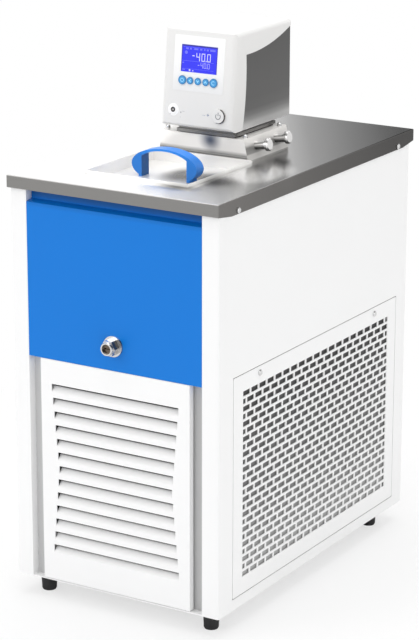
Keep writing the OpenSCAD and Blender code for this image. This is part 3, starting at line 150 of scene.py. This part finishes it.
def place(tree):
    """Where a point is, in metres of the row frame."""
    return node(tree, "ShaderNodeTexCoord").outputs["Object"]


def normal(tree, kind="True Normal"):
    return node(tree, "ShaderNodeNewGeometry").outputs[kind]


def facing(tree, axis):
    """1 on faces that look along an axis, either way, and 0 elsewhere."""
    return calc(tree, "GREATER_THAN", calc(tree, "ABSOLUTE", parts(tree, normal(tree))[axis]), 0.7)


# Colours
def srgb(*rgb):
    """Linear colour of 8-bit screen values."""
    shares = [c / 255 for c in rgb]
    return tuple(c / 12.92 if c <= 0.04045 else ((c + 0.055) / 1.055) ** 2.4 for c in shares) + (1,)


def grey(value):
    return (value, value, value, 1)


WHITE = grey(1)


# Finishes. Grain is the scale of the fine noise along X, Y and Z; brushed steel is long in one.
CLOUD = (7, 7, 7)
PLAIN_GRAIN = (900, 900, 900)
PAINT_GRAIN = (1500, 1500, 1500)
BUMP_DEPTH = 0.0005
M = {}


def noise(tree, scale, detail, rough):
    mapping = node(tree, "ShaderNodeMapping", Scale=scale)
    tree.links.new(place(tree), mapping.inputs["Vector"])
    n = node(tree, "ShaderNodeTexNoise", Scale=1.0, Detail=detail, Roughness=rough)
    tree.links.new(mapping.outputs["Vector"], n.inputs["Vector"])
    return n.outputs["Fac"]


def finish(name, color, rough, metal=0.0, vary=0.03, rough_vary=0.06, bump=0.02, grain=PLAIN_GRAIN, spec=0.5,
           emit=0.0):
    """Plain procedural finish: broad colour variation, fine grain in roughness and bump."""
    m = M[name] = bpy.data.materials.new(name)
    m.use_nodes = True
    t = m.node_tree
    p = t.nodes["Principled BSDF"]
    p.inputs["Metallic"].default_value = metal
    p.inputs["Specular IOR Level"].default_value = spec
    darker, lighter = (tuple(min(1, c * (1 + v)) for c in color[:3]) + (1,) for v in (-vary, vary))
    t.links.new(blend(t, noise(t, CLOUD, 3.0, 0.5), darker, lighter), p.inputs["Base Color"])
    fine = noise(t, grain, 4.0, 0.6)
    limits = {"To_Min": max(0.02, rough - rough_vary), "To_Max": min(1.0, rough + rough_vary)}
    t.links.new(span(t, fine, **limits), p.inputs["Roughness"])
    b = node(t, "ShaderNodeBump", Strength=bump, Distance=BUMP_DEPTH)
    t.links.new(fine, b.inputs["Height"])
    t.links.new(b.outputs["Normal"], p.inputs["Normal"])
    if emit:
        p.inputs["Emission Color"].default_value = color
        p.inputs["Emission Strength"].default_value = emit


def color_of(name):
    """A finish's node tree, its shader, and the socket that its colour comes from."""
    t = M[name].node_tree
    p = t.nodes["Principled BSDF"]
    return t, p, p.inputs["Base Color"].links[0].from_socket


def multiply(name, source, factor=1):
    """Multiply a finish's colour."""
    t, p, old = color_of(name)
    t.links.new(blend(t, factor, old, source, blend_type="MULTIPLY"), p.inputs["Base Color"])


def shade_along(name, direction, start, end, stops):
    """Multiply by a ramp along a direction, from start to end."""
    t = M[name].node_tree
    along = vector_calc(t, "DOT_PRODUCT", place(t), direction)
    multiply(name, ramp(t, span(t, along, From_Min=start, From_Max=end), stops))


def shade_facing(name, axis, direction, start, end, stops):
    """As shade_along, but only on faces that look along one axis."""
    t, p, plain = color_of(name)
    shade_along(name, direction, start, end, stops)
    shaded = color_of(name)[2]
    t.links.new(blend(t, facing(t, axis), plain, shaded), p.inputs["Base Color"])


def shade_sides(name, front, side, side_back, start, end):
    """Give upright faces one colour where they look along Y, and where they look along X a
    colour that changes from side to side_back between two places on the Y axis."""
    t, p, color = color_of(name)
    fade = blend(t, span(t, parts(t, place(t))["Y"], From_Min=start, From_Max=end), side, side_back)
    for axis, new in (("Y", front), ("X", fade)):
        color = blend(t, facing(t, axis), color, new)
    t.links.new(color, p.inputs["Base Color"])


def shade_upward(name, stops):
    """Multiply by a ramp on how far a face looks up, from straight down to straight up."""
    t = M[name].node_tree
    up = parts(t, normal(t, "Normal"))["Z"]
    multiply(name, ramp(t, span(t, up, From_Min=-1), stops))


def shade_spot(name, centre, radii, middle):
    """Multiply softly round one place, by a value or a colour at its middle and by 1 at its edge."""
    t = M[name].node_tree
    offset = vector_calc(t, "SUBTRACT", place(t), centre)
    away = vector_calc(t, "LENGTH", vector_calc(t, "DIVIDE", offset, radii))
    if isinstance(middle, tuple):
        soft = blend(t, span(t, away, interpolation_type="SMOOTHSTEP"), middle, WHITE)
    else:
        soft = span(t, away, interpolation_type="SMOOTHSTEP", To_Min=middle)
    multiply(name, soft)


def shade_inner(name, color):
    """Darken faces that look along +X on the -X half, as inside a handle's left leg."""
    t = M[name].node_tree
    inward = calc(t, "GREATER_THAN", parts(t, normal(t))["X"], 0.6)
    left = calc(t, "LESS_THAN", parts(t, place(t))["X"], 0.0)
    multiply(name, color, calc(t, "MULTIPLY", inward, left))


def calm_edge(name):
    """Keep a metal from brightening at a flat glance: the edge tint follows the colour."""
    t, p, color = color_of(name)
    tint = blend(t, calc(t, "POWER", color, 0.6), grey(0.42), WHITE)
    t.links.new(tint, p.inputs["Specular Tint"])


# Painted, plastic and inner pieces, by the record's slots
finish("white_paint", grey(0.94), 0.42, vary=0.008, bump=0.05, grain=PAINT_GRAIN)
finish("blue_paint", srgb(0, 121, 216), 0.4, vary=0.02, bump=0.05, grain=PAINT_GRAIN, spec=0.25)
finish("black_paint", (0.02, 0.02, 0.022, 1), 0.35, bump=0.05)
finish("brushed_steel", (0.62, 0.62, 0.61, 1), 0.3, metal=1, grain=(40, 4000, 4000), vary=0.06, bump=0.05)
finish("bright_steel", grey(0.66), 0.14, metal=1, rough_vary=0.04, bump=0.01)
finish("aluminium", (0.66, 0.67, 0.68, 1), 0.4, metal=1, bump=0.03)
finish("copper", (0.72, 0.36, 0.2, 1), 0.3, metal=1, vary=0.1)
finish("grey_metal", (0.35, 0.36, 0.37, 1), 0.38, metal=1, bump=0.04)
finish("foot_rubber", (0.016, 0.016, 0.017, 1), 0.7, bump=0.1, vary=0.1)
finish("foam", (0.75, 0.66, 0.42, 1), 0.9, bump=0.4, vary=0.08, grain=(400, 400, 400))
finish("grey_plastic", grey(0.6), 0.5, bump=0.05)
finish("dark_plastic", (0.02, 0.02, 0.021, 1), 0.45, bump=0.06)
finish("white_plastic", (0.84, 0.835, 0.825, 1), 0.4, vary=0.01, bump=0.04, grain=(1800, 1800, 1800))
finish("blue_plastic", srgb(44, 140, 240), 0.35, vary=0.02, bump=0.04, spec=0.35)
finish("red_plastic", (0.5, 0.02, 0.015, 1), 0.25, bump=0.02)
finish("membrane", grey(0.98), 0.32, vary=0.004, bump=0.02)
finish("display", srgb(40, 44, 225), 0.15, vary=0.03, bump=0.0, emit=0.25)
finish("key_blue", srgb(70, 160, 222), 0.35, vary=0.02, bump=0.02)
finish("board", (0.02, 0.16, 0.05, 1), 0.4, bump=0.05)

# Inks of the printed marks, with the screen's dark edge and the darkest ink as painted shade, and a faint
# painted glow on the keys' ink
finish("lcd_ink", srgb(196, 196, 255), 0.5, vary=0.02, bump=0.01, emit=0.25)
finish("lcd_faint", srgb(104, 108, 250), 0.5, vary=0.02, bump=0.01, emit=0.15)
# Painted shadow of the screen's recess, along its top and sides
finish("lcd_edge", srgb(40, 40, 150), 0.4, vary=0.02, bump=0.01)
finish("lcd_second", srgb(158, 158, 252), 0.5, vary=0.02, bump=0.01, emit=0.2)
# Printed key signs with a faint painted glow
finish("key_ink_glow", srgb(160, 222, 255), 0.4, vary=0.02, bump=0.01, emit=0.1)
finish("key_rim", srgb(40, 124, 186), 0.4, vary=0.02, bump=0.01)
finish("blue_ink", srgb(120, 136, 170), 0.6, vary=0.02, bump=0.01)
finish("grey_ink", (0.25, 0.26, 0.28, 1), 0.6, vary=0.05, bump=0.0)
# Dark of painted shade, in the socket's bore and on the button's edge
finish("painted_shade", (0.05, 0.045, 0.045, 1), 0.5, vary=0.05, bump=0.01)

# Steel and paint for a few pieces of their own, whose colour carries painted reflection, painted shade and,
# on the socket, a faint painted glow
STEEL_GRAIN = (30, 5000, 5000)
UP = (0, 0, 1)
# White of the sensor socket, with a faint painted glow
finish("socket_white_glow", grey(0.95), 0.4, vary=0.01, bump=0.02, emit=0.08)
# The head's base is steel made darker as painted shade under the head
finish("head_base", (0.19, 0.187, 0.183, 1), 0.3, metal=1, vary=0.06, bump=0.03)
# The drain plug's steel, darkened to a brown-grey that is painted reflection
finish("brown_reflection_steel", srgb(104, 94, 86), 0.25, metal=1, vary=0.1, bump=0.03)
finish("top_plate", (1, 0.995, 0.985, 1), 0.2, metal=1, grain=STEEL_GRAIN, vary=0.02, bump=0.03,
       rough_vary=0.05)
finish("lid_steel", (1, 0.975, 0.95, 1), 0.25, metal=0.3, grain=STEEL_GRAIN, vary=0.02, bump=0.03,
       rough_vary=0.05)
finish("nozzle_steel", (0.95, 0.94, 0.93, 1), 0.2, metal=0.7, vary=0.02, bump=0.01)
finish("port_steel", (0.95, 0.94, 0.93, 1), 0.18, metal=0.75, vary=0.02, bump=0.01)
finish("bridge_steel", (1, 0.97, 0.94, 1), 0.3, metal=0.2, grain=(60, 2500, 2500), vary=0.02, bump=0.02,
       rough_vary=0.04)
finish("head_steel", (1, 0.99, 0.97, 1), 0.3, metal=1, grain=(4000, 30, 4000), vary=0.03, bump=0.04)
finish("channel_paint_shaded", grey(0.94), 0.5, vary=0.008, bump=0.05, grain=PAINT_GRAIN)
finish("filter_mesh_shaded", grey(0.5), 0.8, vary=0.05, bump=0.1)

# Painted reflection and shade on the plate: it darkens towards its far right corner and on its lips, with a
# painted dark cloud, a painted shade strip by the lid and a painted gleam
PLATE_Z = 0.563
shade_along("top_plate", (0.85, 0.52, 0), -0.07, 0.25,
            [(0, 0.93), (0.125, 0.86), (0.33, 0.72), (0.46, 0.5), (0.54, 0.35), (0.61, 0.25), (0.7, 0.185),
             (0.78, 0.13), (0.86, 0.085), (0.93, 0.045), (1, 0.02)])
shade_sides("top_plate", srgb(136, 135, 133), srgb(124, 122, 120), srgb(92, 91, 90), -0.25, 0.2)
shade_spot("top_plate", (0.09, -0.147, PLATE_Z), (0.041, 0.041, 0.05), 0.3)
shade_spot("top_plate", (0.064, -0.197, PLATE_Z), (0.042, 0.024, 0.05), 0.2)
shade_spot("top_plate", (0.118, -0.082, PLATE_Z), (0.042, 0.07, 0.05), 2.9)
calm_edge("top_plate")

# Painted shade and reflection of the handle: a dark cloud on the floor of the lid's tray
LID_Z = 0.552
shade_spot("lid_steel", (0.012, -0.106, LID_Z), (0.044, 0.046, 0.04), 0.14)
shade_spot("lid_steel", (-0.001, -0.08, LID_Z), (0.026, 0.042, 0.04), 0.2)
shade_spot("lid_steel", (0.044, -0.086, LID_Z), (0.042, 0.044, 0.04), 0.05)
shade_spot("lid_steel", (0.058, -0.13, LID_Z), (0.042, 0.042, 0.04), 0.26)
calm_edge("lid_steel")

# Painted reflection on round and faceted steel: bands by how far each face looks up, as of a bright room
shade_upward("nozzle_steel", [(0, 0.2), (0.1, 0.09), (0.3, 0.1), (0.38, 0.4), (0.5, 0.95), (0.64, 0.95),
                              (0.74, 0.3), (0.8, 0.3), (0.86, 1), (1, 1)])
shade_upward("port_steel", [(0, 0.3), (0.25, 0.45), (0.4, 0.5), (0.5, 0.7), (0.62, 0.4), (0.7, 0.1),
                            (0.82, 0.12), (0.92, 0.95), (1, 1)])

# Painted reflection on the bridge: its front darkens at its foot where it mirrors the plate and carries a
# painted blue patch of the handle in its middle, and its sides carry a painted dark band
BRIDGE_Z = (0.561, 0.592)
shade_facing("bridge_steel", "Y", UP, *BRIDGE_Z,
             [(0, 0.45), (0.26, 0.45), (0.28, 0.3), (0.31, 0.5), (0.36, 0.66), (0.44, 0.97), (1, 1)])
shade_spot("bridge_steel", (0.012, -0.029, 0.586), (0.021, 0.05, 0.02), (0.06, 0.085, 0.15, 1))
shade_facing("bridge_steel", "X", UP, *BRIDGE_Z,
             [(0, 0.7), (0.3, 0.62), (0.36, 0.3), (0.62, 0.32), (0.75, 0.8), (1, 0.95)])

# Painted light and shade up or across a piece
# Painted shade: the membrane darkens towards the bottom, lit from above
shade_along("membrane", UP, 0.648, 0.715, [(0, 0.89), (0.2, 0.92), (0.5, 0.98), (1, 1)])
# Painted shade on the blue panel: a soft dark band under the grip's lip, a lighter lit band on the lip, and
# deeper shade up in the grip recess
shade_along("blue_paint", UP, 0.5, 0.55,
            [(0, 1), (0.5, 1), (0.56, 0.89), (0.62, 0.82), (0.66, 0.92), (0.69, 1), (0.72, 0.78), (0.75, 0.7),
             (0.82, 0.53), (1, 0.48)])
# Painted light and shade on the handle: lighter towards its top, where light falls, and darker on the inner
# face of its left leg
shade_along("blue_plastic", UP, 0.551, 0.591, [(0, 0.74), (0.7, 0.8), (0.86, 1), (1, 1)])
shade_inner("blue_plastic", (0.42, 0.5, 0.46, 1))
# Painted reflection on the head's steel sides: bright at their foot, dark higher up
shade_along("head_steel", UP, 0.6, 0.72,
            [(0, 0.8), (0.06, 0.64), (0.1, 0.4), (0.15, 0.24), (0.21, 0.16), (0.33, 0.135), (1, 0.115)])
# Painted shade in the recessed channels beside the louvres, a little darker towards the right
shade_along("channel_paint_shaded", (1, 0, 0), -0.13, 0.13, [(0, 0.66), (0.5, 0.6), (1, 0.58)])
# Painted shade inside the cabinet: the grey filter behind the side grille darkens upward
shade_along("filter_mesh_shaded", UP, 0.05, 0.32, [(0, 1), (0.4, 0.5), (1, 0.1)])

# Pieces whose finish is not the plain one of their slot
OWN_FINISH = {
    "top_plate": "top_plate", "lid": "lid_steel", "bridge": "bridge_steel", "drain_port": "port_steel",
    "drain_plug": "brown_reflection_steel", "pump_nozzles": "nozzle_steel", "nozzle_cap_front": "nozzle_steel",
    "nozzle_cap_rear": "nozzle_steel", "head_side_cover": "head_steel", "head_base": "head_base",
    "front_frame": "channel_paint_shaded", "side_filter": "filter_mesh_shaded", "sensor_socket": "socket_white_glow"}
for name, obj in NODES.items():
    obj.data.materials.clear()
    obj.data.materials.append(M[OWN_FINISH.get(name, SLOTS[name])])

# Places of the CAD that the marks stand on, in millimetres. On the head's sloping front they
# are given across, up the slope and outward.
HEAD_REAR = MID_Y + 95
HEAD_DEPTH = 152.4
HEAD_FRONT = HEAD_REAR - HEAD_DEPTH
HEAD_Z = 600.6
HEAD_H = 126.5
HEAD_LEAN = 13.5
SLOPE = math.pi / 2 - math.atan(HEAD_LEAN / HEAD_H)
LCD_S = HEAD_H - 35.6
LCD_OUT = 0.32
KEY_S = HEAD_H - 63.9
KEY_PITCH = 11.65
KEY_OUT = 1.7
BUTTON = (33.9, 21.2)
BUTTON_OUT = 2.89
BUTTON_R = 9.3
BUTTON_BEVEL = 0.8
SOCKET = (-35, 23.3)
SOCKET_OUT = 0.82
SIDE_X = 153.4
GRILLE_Y = (MID_Y - 217.6, MID_Y + 218.8)
GRILLE_Z = (42.6, 334.6)
INK_T = 0.06
ON_FACE = 0.02


def on_face(x, s, out):
    """Row-frame point of a place on the head's sloping front."""
    return Vector((x, HEAD_FRONT + s * math.cos(SLOPE) - out * math.sin(SLOPE),
                   HEAD_Z + s * math.sin(SLOPE) + out * math.cos(SLOPE))) / 1000


def on_button(angle, s, out):
    """Row-frame point on the button's edge: angle in degrees, down its bevel and then its wall."""
    r = BUTTON_R - BUTTON_BEVEL * max(0, 1 - s) + out
    z = BUTTON_OUT - BUTTON_BEVEL * min(s, 1) - max(0, s - 1)
    a = math.radians(angle)
    return on_face(BUTTON[0] + r * math.cos(a), BUTTON[1] + r * math.sin(a), z)


def on_side(y, z, out):
    """Row-frame point on the right side wall: along Y, up, outward."""
    return Vector((SIDE_X + out, y, z)) / 1000


def flat_piece(name, polys, out, material, body="cabinet", where=on_face, thick=INK_T):
    """One thin piece made of flat outlines, each a list of points on a face."""
    bm = bmesh.new()
    for poly in polys:
        low = [bm.verts.new(where(x, y, out)) for x, y in poly]
        high = [bm.verts.new(where(x, y, out + thick)) for x, y in poly]
        bm.faces.new(high)
        bm.faces.new(low[::-1])
        for i in range(len(poly)):
            j = (i + 1) % len(poly)
            bm.faces.new((low[i], low[j], high[j], high[i]))
    bmesh.ops.recalc_face_normals(bm, faces=bm.faces)
    me = bpy.data.meshes.new(name)
    bm.to_mesh(me)
    bm.free()
    obj = bpy.data.objects.new(name, me)
    bpy.context.scene.collection.objects.link(obj)
    me.materials.append(M[material])
    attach(obj, body)


def bar(x0, y0, x1, y1):
    return [(x0, y0), (x1, y0), (x1, y1), (x0, y1)]


def ring(cx, cy, r, w, a0=0, a1=360):
    """Arc band of outer radius r and width w, as short quads."""
    steps = max(2, int(40 * abs(a1 - a0) / 360))
    rays = [math.radians(a0 + (a1 - a0) * k / steps) for k in range(steps + 1)]
    quads = [((r, a), (r, b), (r - w, b), (r - w, a)) for a, b in zip(rays, rays[1:])]
    return [[(cx + k * math.cos(c), cy + k * math.sin(c)) for k, c in quad] for quad in quads]


def moved(polys, dx, dy):
    return [[(dx + x, dy + y) for x, y in poly] for poly in polys]


SEGMENTS = {"0": "abcdef", "4": "bcfg", "-": "g"}


def digits(rows):
    """Bars of digits; a row is a character, its lower left corner, width, height and stroke."""
    out = []
    for ch, x, y, w, h, t in rows:
        if ch == ".":
            out.append(bar(x, y, x + t * 1.1, y + t * 1.1))
            continue
        m = y + h / 2
        strokes = {"a": bar(x, y + h - t, x + w, y + h), "b": bar(x + w - t, m, x + w, y + h),
                   "c": bar(x + w - t, y, x + w, m), "d": bar(x, y, x + w, y + t),
                   "e": bar(x, y, x + t, m), "f": bar(x, m, x + t, y + h),
                   "g": bar(x, m - t / 2, x + w, m + t / 2)}
        out += [strokes[s] for s in SEGMENTS[ch]]
    return out


# Screen, drawn from its middle
big = digits([("-", -10.6, -0.8, 3.4, 9.2, 1.2), ("4", -4.6, -2.4, 5.6, 10.2, 1.1),
              ("0", 3.2, -2.4, 5.4, 10.2, 1.1), (".", 9.6, -2.4, 0, 0, 1.2),
              ("0", 11.5, -2.4, 5.4, 10.2, 1.1)])
small = digits([("-", -1.8, -11.2, 2.4, 7, 0.9), ("4", 2.4, -11.2, 3.8, 6.8, 0.8),
                ("0", 7.2, -11.2, 3.6, 6.8, 0.8), (".", 11.3, -11.2, 0, 0, 0.8),
                ("0", 12.5, -11.2, 3.6, 6.8, 0.8)])
icons = ring(-13.6, -15, 1.3, 1.2) + ring(-8.8, -15.4, 0.8, 0.7)
words = [bar(x0, 11.4, x1, 13.6) for x0, x1 in
         ((-20.4, -16.6), (-14.6, -12), (-8.4, -2.2), (0.4, 3.6), (6.4, 8.4), (10.4, 13.4), (15.4, 23.6))]
rules = [bar(-24.6, 14.2, 24.6, 14.5), bar(-24, -3.5, 22, -3.1), bar(-24, -13.4, 22, -13.1)]
left_words = [bar(-25, -6.6, -22.6, -5.2), bar(-25, -15.4, -20.6, -14)]
# Painted shadow of the screen's recess, along its top and sides
recess_shadow = [bar(-26.6, 15.6, 26.6, 17.2), bar(-26.6, -17.2, -25.8, 15.6), bar(25.9, -17.2, 26.6, 15.6)]
for name, polys, ink in (("lcd_digits", big + icons, "lcd_ink"), ("lcd_small", small, "lcd_second"),
                         ("lcd_lines", words + rules + left_words + ring(-19.8, 7.4, 2.2, 2.1), "lcd_faint"),
                         ("lcd_edge", recess_shadow, "lcd_edge")):
    flat_piece(name, moved(polys, 0, LCD_S), LCD_OUT, ink)

# Keys, each drawn from its middle: place in the row, radius of its rim, sign
KEYS = (("select", -2, 5.7, ring(0, 0, 2.6, 0.8)),
        ("left", -1, 4.6, [[(1.6, 2.4), (-1.9, 0), (1.6, -2.4), (1.6, -1.1), (0, 0), (1.6, 1.1)]]),
        ("down", 0, 4.6, [[(-2.4, 1.4), (0, -2.0), (2.4, 1.4), (1.1, 1.4), (0, 0), (-1.1, 1.4)]]),
        ("up", 1, 4.6, [[(-2.4, -1.4), (-1.1, -1.4), (0, 0), (1.1, -1.4), (2.4, -1.4), (0, 2.0)]]),
        ("enter", 2, 5.7, ring(0, 0, 2.6, 0.8, 40, 320)))
for key, i, rim, sign in KEYS:
    for kind, polys, ink in (("mark_", sign, "key_ink_glow"), ("rim_", ring(0, 0, rim, 1.0), "key_rim")):
        flat_piece(kind + key, moved(polys, i * KEY_PITCH, KEY_S), KEY_OUT, ink, key + "_key")

# Power button: its sign, and a dark line of painted shade on its right edge
flat_piece("mark_power", moved(ring(0, 0, 4.0, 1.1, 130, 410) + [bar(-0.55, 0.7, 0.55, 5.2)], *BUTTON),
           BUTTON_OUT + 0.01, "grey_ink", "power")
edge = [bar(a, s0, a + 5, s1) for a in range(-110, 75, 5) for s0, s1 in ((0, 1), (1, 2.2))]
flat_piece("button_edge_shade", edge, 0, "painted_shade", "power", on_button)

# Sensor socket: its pale plate, a dark ring of painted shade in its bore, and the small print beside it
flat_piece("socket_plate", moved(ring(0, 0, 8, 8), *SOCKET), 0.01, "socket_white_glow")
flat_piece("socket_bore_shade", moved(ring(0, 0, 3.4, 2.2), *SOCKET), SOCKET_OUT, "painted_shade")
flat_piece("mark_small", [[(-24.4, 21.4), (-23.4, 19.4), (-22.4, 21.4)], bar(-21.4, 22.3, -18.4, 22.6),
                          bar(-39.6, 16.3, -39.1, 18.3), bar(-24.2, 14.4, -23.7, 14.9)], ON_FACE, "grey_ink")
flat_piece("mark_plus", [bar(15.4, 20.8, 19, 21.6), bar(16.8, 19.4, 17.6, 23), bar(8.6, 20.3, 13.6, 20.6)],
           ON_FACE, "blue_ink")

# Dark strip in the gap round the side grille: painted shade of the gap
GAP_SHADE_W = 1.0
(y0, y1), (z0, z1) = GRILLE_Y, GRILLE_Z
gap_shade = [bar(y0 - GAP_SHADE_W, z0 - GAP_SHADE_W, y0, z1 + GAP_SHADE_W), bar(y1, z0 - GAP_SHADE_W, y1 + GAP_SHADE_W, z1 + GAP_SHADE_W),
        bar(y0, z0 - GAP_SHADE_W, y1, z0), bar(y0, z1, y1, z1 + GAP_SHADE_W)]
flat_piece("grille_gap_shade", gap_shade, -1.5, "dark_plastic", where=on_side, thick=0.9)

# Floor, light and world
FLOOR_HALF = 30
ROOM_LIGHT = 0.77
ROOM_MIRRORED = 1.15


def stage_floor():
    """Pale floor that turns to the white of the background away from the part."""
    me = bpy.data.meshes.new("floor")
    corners = [(x * FLOOR_HALF, y * FLOOR_HALF, 0) for x, y in ((-1, -1), (1, -1), (1, 1), (-1, 1))]
    me.from_pydata(corners, [], [(0, 1, 2, 3)])
    obj = bpy.data.objects.new("floor", me)
    bpy.context.scene.collection.objects.link(obj)
    m = bpy.data.materials.new("floor")
    m.use_nodes = True
    t = m.node_tree
    p = t.nodes["Principled BSDF"]
    p.inputs["Base Color"].default_value = grey(0.93)
    p.inputs["Roughness"].default_value = 0.9
    p.inputs["Specular IOR Level"].default_value = 0.0
    away = vector_calc(t, "LENGTH", place(t))
    fade = span(t, away, interpolation_type="SMOOTHSTEP", From_Min=0.25, From_Max=0.8, To_Min=0.6)
    seen = calc(t, "MULTIPLY", fade, node(t, "ShaderNodeLightPath").outputs["Is Camera Ray"])
    white = node(t, "ShaderNodeEmission")
    mix = node(t, "ShaderNodeMixShader")
    for source, socket in zip((seen, p.outputs["BSDF"], white.outputs["Emission"]), mix.inputs):
        t.links.new(source, socket)
    t.links.new(mix.outputs["Shader"], t.nodes["Material Output"].inputs["Surface"])
    me.materials.append(m)


def lamp(name, at, target, side, watts):
    data = bpy.data.lights.new(name, "AREA")
    data.shape = "SQUARE"
    data.size = side
    data.energy = watts
    obj = bpy.data.objects.new(name, data)
    bpy.context.scene.collection.objects.link(obj)
    obj.location = at
    obj.rotation_euler = (Vector(target) - Vector(at)).to_track_quat("-Z", "Y").to_euler()


def world():
    """White background, grey light all round, and for shiny pieces a bright room with one darker
    band above eye level."""
    w = bpy.data.worlds.new("world")
    bpy.context.scene.world = w
    w.use_nodes = True
    t = w.node_tree
    height = parts(t, node(t, "ShaderNodeTexCoord").outputs["Generated"])["Z"]
    band = ramp(t, height, [(0, 1), (0.48, 1), (0.56, 0.2), (0.66, 0.2), (0.74, 1), (1, 1)])
    room = blend(t, 1, band, grey(ROOM_MIRRORED), blend_type="MULTIPLY")
    path = node(t, "ShaderNodeLightPath").outputs
    lit = blend(t, path["Is Glossy Ray"], grey(ROOM_LIGHT), room)
    seen = blend(t, path["Is Camera Ray"], lit, WHITE)
    t.links.new(seen, t.nodes["Background"].inputs["Color"])


stage_floor()
lamp("key", (-2.6, -3.2, 2.6), (0, 0, 0.35), 2.6, 34)
lamp("fill", (3.4, -1.6, 2.2), (0, 0, 0.35), 2.4, 12)
lamp("top", (0, 0.0, 4.2), (0, 0, 0.4), 3.4, 60)
world()

bpy.context.scene.view_settings.view_transform = "Standard"
